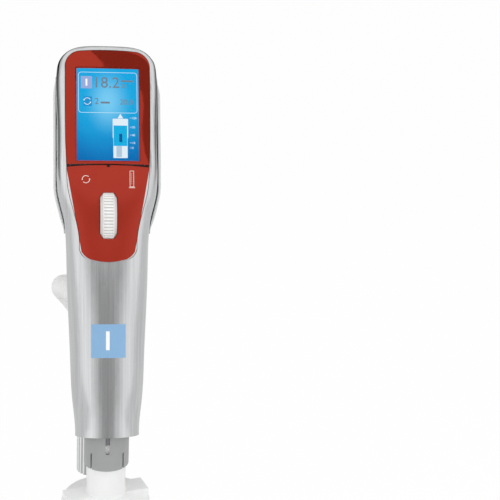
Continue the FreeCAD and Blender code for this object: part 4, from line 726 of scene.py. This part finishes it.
def half_width(along):
    """Half the body's width at the rails' depth."""
    grip_end, head_start, head_half = 0.164, 0.202, 0.0405
    grip_half = 0.0258 + 0.008 * min(along / grip_end, 1.0) ** 0.7
    return grip_half + (head_half - grip_half) * smooth_step(along, grip_end, head_start)


def side_bar(name, hand, low, high, away, thick, depth, tuck, finish):
    """A bar with round edges beside the body, away from it by its middle, from a low to a high
    place along the axis. Its ends grow thin and run in towards the body over a length of tuck."""
    round_edge, sunk, thin_end = thick * 0.44, thick * 0.25, 0.4
    behind_axis, steps = 0.005, 40
    bm = bmesh.new()
    made = bmesh.ops.create_grid(bm, x_segments=1, y_segments=1, size=0.5)["verts"]
    bmesh.ops.scale(bm, vec=(thick, depth, 1), verts=made)
    bmesh.ops.bevel(bm, geom=made, offset=round_edge, offset_type="OFFSET", segments=5, profile=0.5,
                    affect="VERTICES", material=-1)
    made, edges = list(bm.verts), list(bm.edges)
    before = Matrix()
    for step in range(steps + 1):
        along = low + (high - low) * step / steps
        out = smooth_step(along, low, low + tuck) * (1 - smooth_step(along, high - tuck, high))
        middle, tilt = body_axis(along)
        middle.x = hand * (half_width(along) + sunk + (away - sunk) * out)
        middle.y += behind_axis
        thinned = Matrix.Diagonal((thin_end + (1 - thin_end) * out, 1, 1, 1))
        here = handle @ Matrix.Translation(middle) @ Matrix.Rotation(-tilt, 4, "X") @ thinned
        if step:
            grown = bmesh.ops.extrude_edge_only(bm, edges=edges)["geom"]
            made = [v for v in grown if isinstance(v, bmesh.types.BMVert)]
            edges = [e for e in grown if isinstance(e, bmesh.types.BMEdge) and e.is_boundary]
        bmesh.ops.transform(bm, matrix=here @ before.inverted(), verts=made)
        before = here
    bmesh.ops.holes_fill(bm, edges=[e for e in bm.edges if e.is_boundary])
    bmesh.ops.recalc_face_normals(bm, faces=bm.faces)
    for face in bm.faces:
        face.smooth = len(face.verts) == 4
    piece = new_piece(name, bm)
    finish.on(piece)
    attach(piece, "handset")
    return piece


polished = Finish("polished_rail", (0.78, 0.785, 0.79, 1), 0.2, Metallic=0.15)
drawn = polished.noise(polished.spot(**along_handle, size=(0.0004, 0.0004, 0.03)), 1.0, 3.0)
polished.shade(drawn, 0.92)
polished.feed("Roughness", 0.12 + drawn * 0.1)
# The dark strips under the rails are painted shadow: dark sheets where there is only the shade of the
# gap.
gap_shade_finish = Finish("painted_gap_shadow", (0.05, 0.05, 0.052, 1), 0.5)
gap_shade_finish.shade(gap_shade_finish.noise(gap_shade_finish.spot(), 400), 0.9)
gap_shade_finish.relief(gap_shade_finish.noise(gap_shade_finish.spot(), 1800), 0.00002, 0.4)
for hand, word, away, thick in ((-1, "left", 0.0016, 0.0021), (1, "right", 0.0022, 0.0024)):
    rail = side_bar("polished_rail_" + word, hand, low=0.163, high=0.291, away=away, thick=thick,
                    depth=0.008, tuck=0.014, finish=polished)
    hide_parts("side_rail_" + word, *["rail_screw_%s_%d" % (word, k) for k in (1, 2)])
    gap = away - thick / 2
    gap_shade_strip = side_bar("rail_bed_" + word, hand, low=0.166, high=0.288, away=gap / 2, thick=gap,
                   depth=0.006, tuck=0.010, finish=gap_shade_finish)

# ---------------------------------------------------------------- the steel parts
# Turned pins for the rocking panel, the wheel's axle, the collar's coiled spring, and the four
# screws that draw the shells together from behind.

steel = Finish("plain_steel", paint(176, 178, 180), 0.32, Metallic=1.0)
steel.shade(steel.noise(steel.spot(), 800), 0.88)
steel.on("panel_pin_lower", "panel_pin_upper", "wheel_axle", "collar_spring",
         *["shell_screw_%d" % k for k in range(1, 5)])

# ---------------------------------------------------------------- the nozzle
# A slotted collar round the spigot, moulded in satin grey plastic. Pushed up against its spring, it
# lets the filter go.

satin = Finish("satin_grey", paint(164, 165, 165), 0.36, Coat_Weight=0.1)
satin.shade(satin.noise(satin.spot(), 70), 0.94, 1.02)
satin.relief(satin.noise(satin.spot(), 2600), 0.00001, 0.4)
satin.on("release_collar")

# ---------------------------------------------------------------- the filter and the hose inlet
# White polypropylene: the filter's two halves are spun-welded at a flange, over a stack of felt
# discs on a core. The inlet's sleeve is moulded with flutes, whose grooves are painted dark, a painted
# shadow.

white = Finish("white_polypropylene", paint(247, 248, 247), 0.34, Subsurface_Weight=0.1,
               Subsurface_Radius=(0.004, 0.004, 0.004))
white.shade(white.noise(white.spot(), 45), 0.96)
white.relief(white.noise(white.spot(), 1800), 0.00001, 0.4)
white.on("filter_upper", "filter_lower", "filter_core", "spigot")

fluted = Finish("fluted_sleeve", paint(236, 237, 237), 0.34)
sleeve_low, sleeve_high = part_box("inlet_sleeve")
side, back, _ = fluted.split(fluted.spot((sleeve_low + sleeve_high) / 2, size=millimetres))
# Painted shadow: inside the lands' radius the flutes' grooves are painted down to 0.42 of the colour.
flute_groove_shadow = ((side * side + back * back) ** 0.5).ease(15.1, 15.9)
fluted.shade(flute_groove_shadow * 0.9 + fluted.noise(fluted.spot(), 60) * 0.1, 0.42)
fluted.relief(fluted.noise(fluted.spot(), 1800), 0.00001, 0.4)
fluted.on("inlet_sleeve")

membrane = Finish("filter_felt", paint(238, 238, 230), 0.9)
membrane.relief(membrane.noise(membrane.spot(), 3000), 0.0001, 0.6)
membrane.on(*["filter_disc_%d" % k for k in range(1, 6)])

# ---------------------------------------------------------------- the inside
# Parts that the housing hides: the valve's coil, in the same plated brass as the hose's plug, the
# clear plastic tubes and flat cable, and the green circuit boards.

brass = Finish("plated_brass", paint(196, 168, 112), 0.28, Metallic=1.0)
brass.shade(brass.noise(brass.spot(), 300), 0.85)
brass.on("hose_connector", "valve_coil")

clear = Finish("clear_tube", paint(214, 220, 218), 0.2, Transmission_Weight=0.6)
clear.on("inlet_tube", "outlet_tube", "ribbon_cable")

board = Finish("green_board", paint(28, 96, 58), 0.4)
board.shade(board.noise(board.spot(), 500), 0.7)
board.on("circuit_board", "wheel_sensor")

# ---------------------------------------------------------------- the printed label
# A pale blue film label, stuck on the front of the grip below the panel, with one white bar printed
# on it.

film = Finish("blue_film", paint(138, 180, 218), 0.45)
film.shade(film.noise(film.spot(), 200), 0.94)
film.on("printed_label")
white_ink = Finish("label_ink", paint(250, 251, 252), 0.45)
white_ink.shade(white_ink.noise(white_ink.spot(), 1500), 0.97)
bar = Print("label_bar", white_ink, "printed_label", "label_blue", "handset")
bar.plate(-0.6, 77.6, 2.9, 15.0)
bar.show()
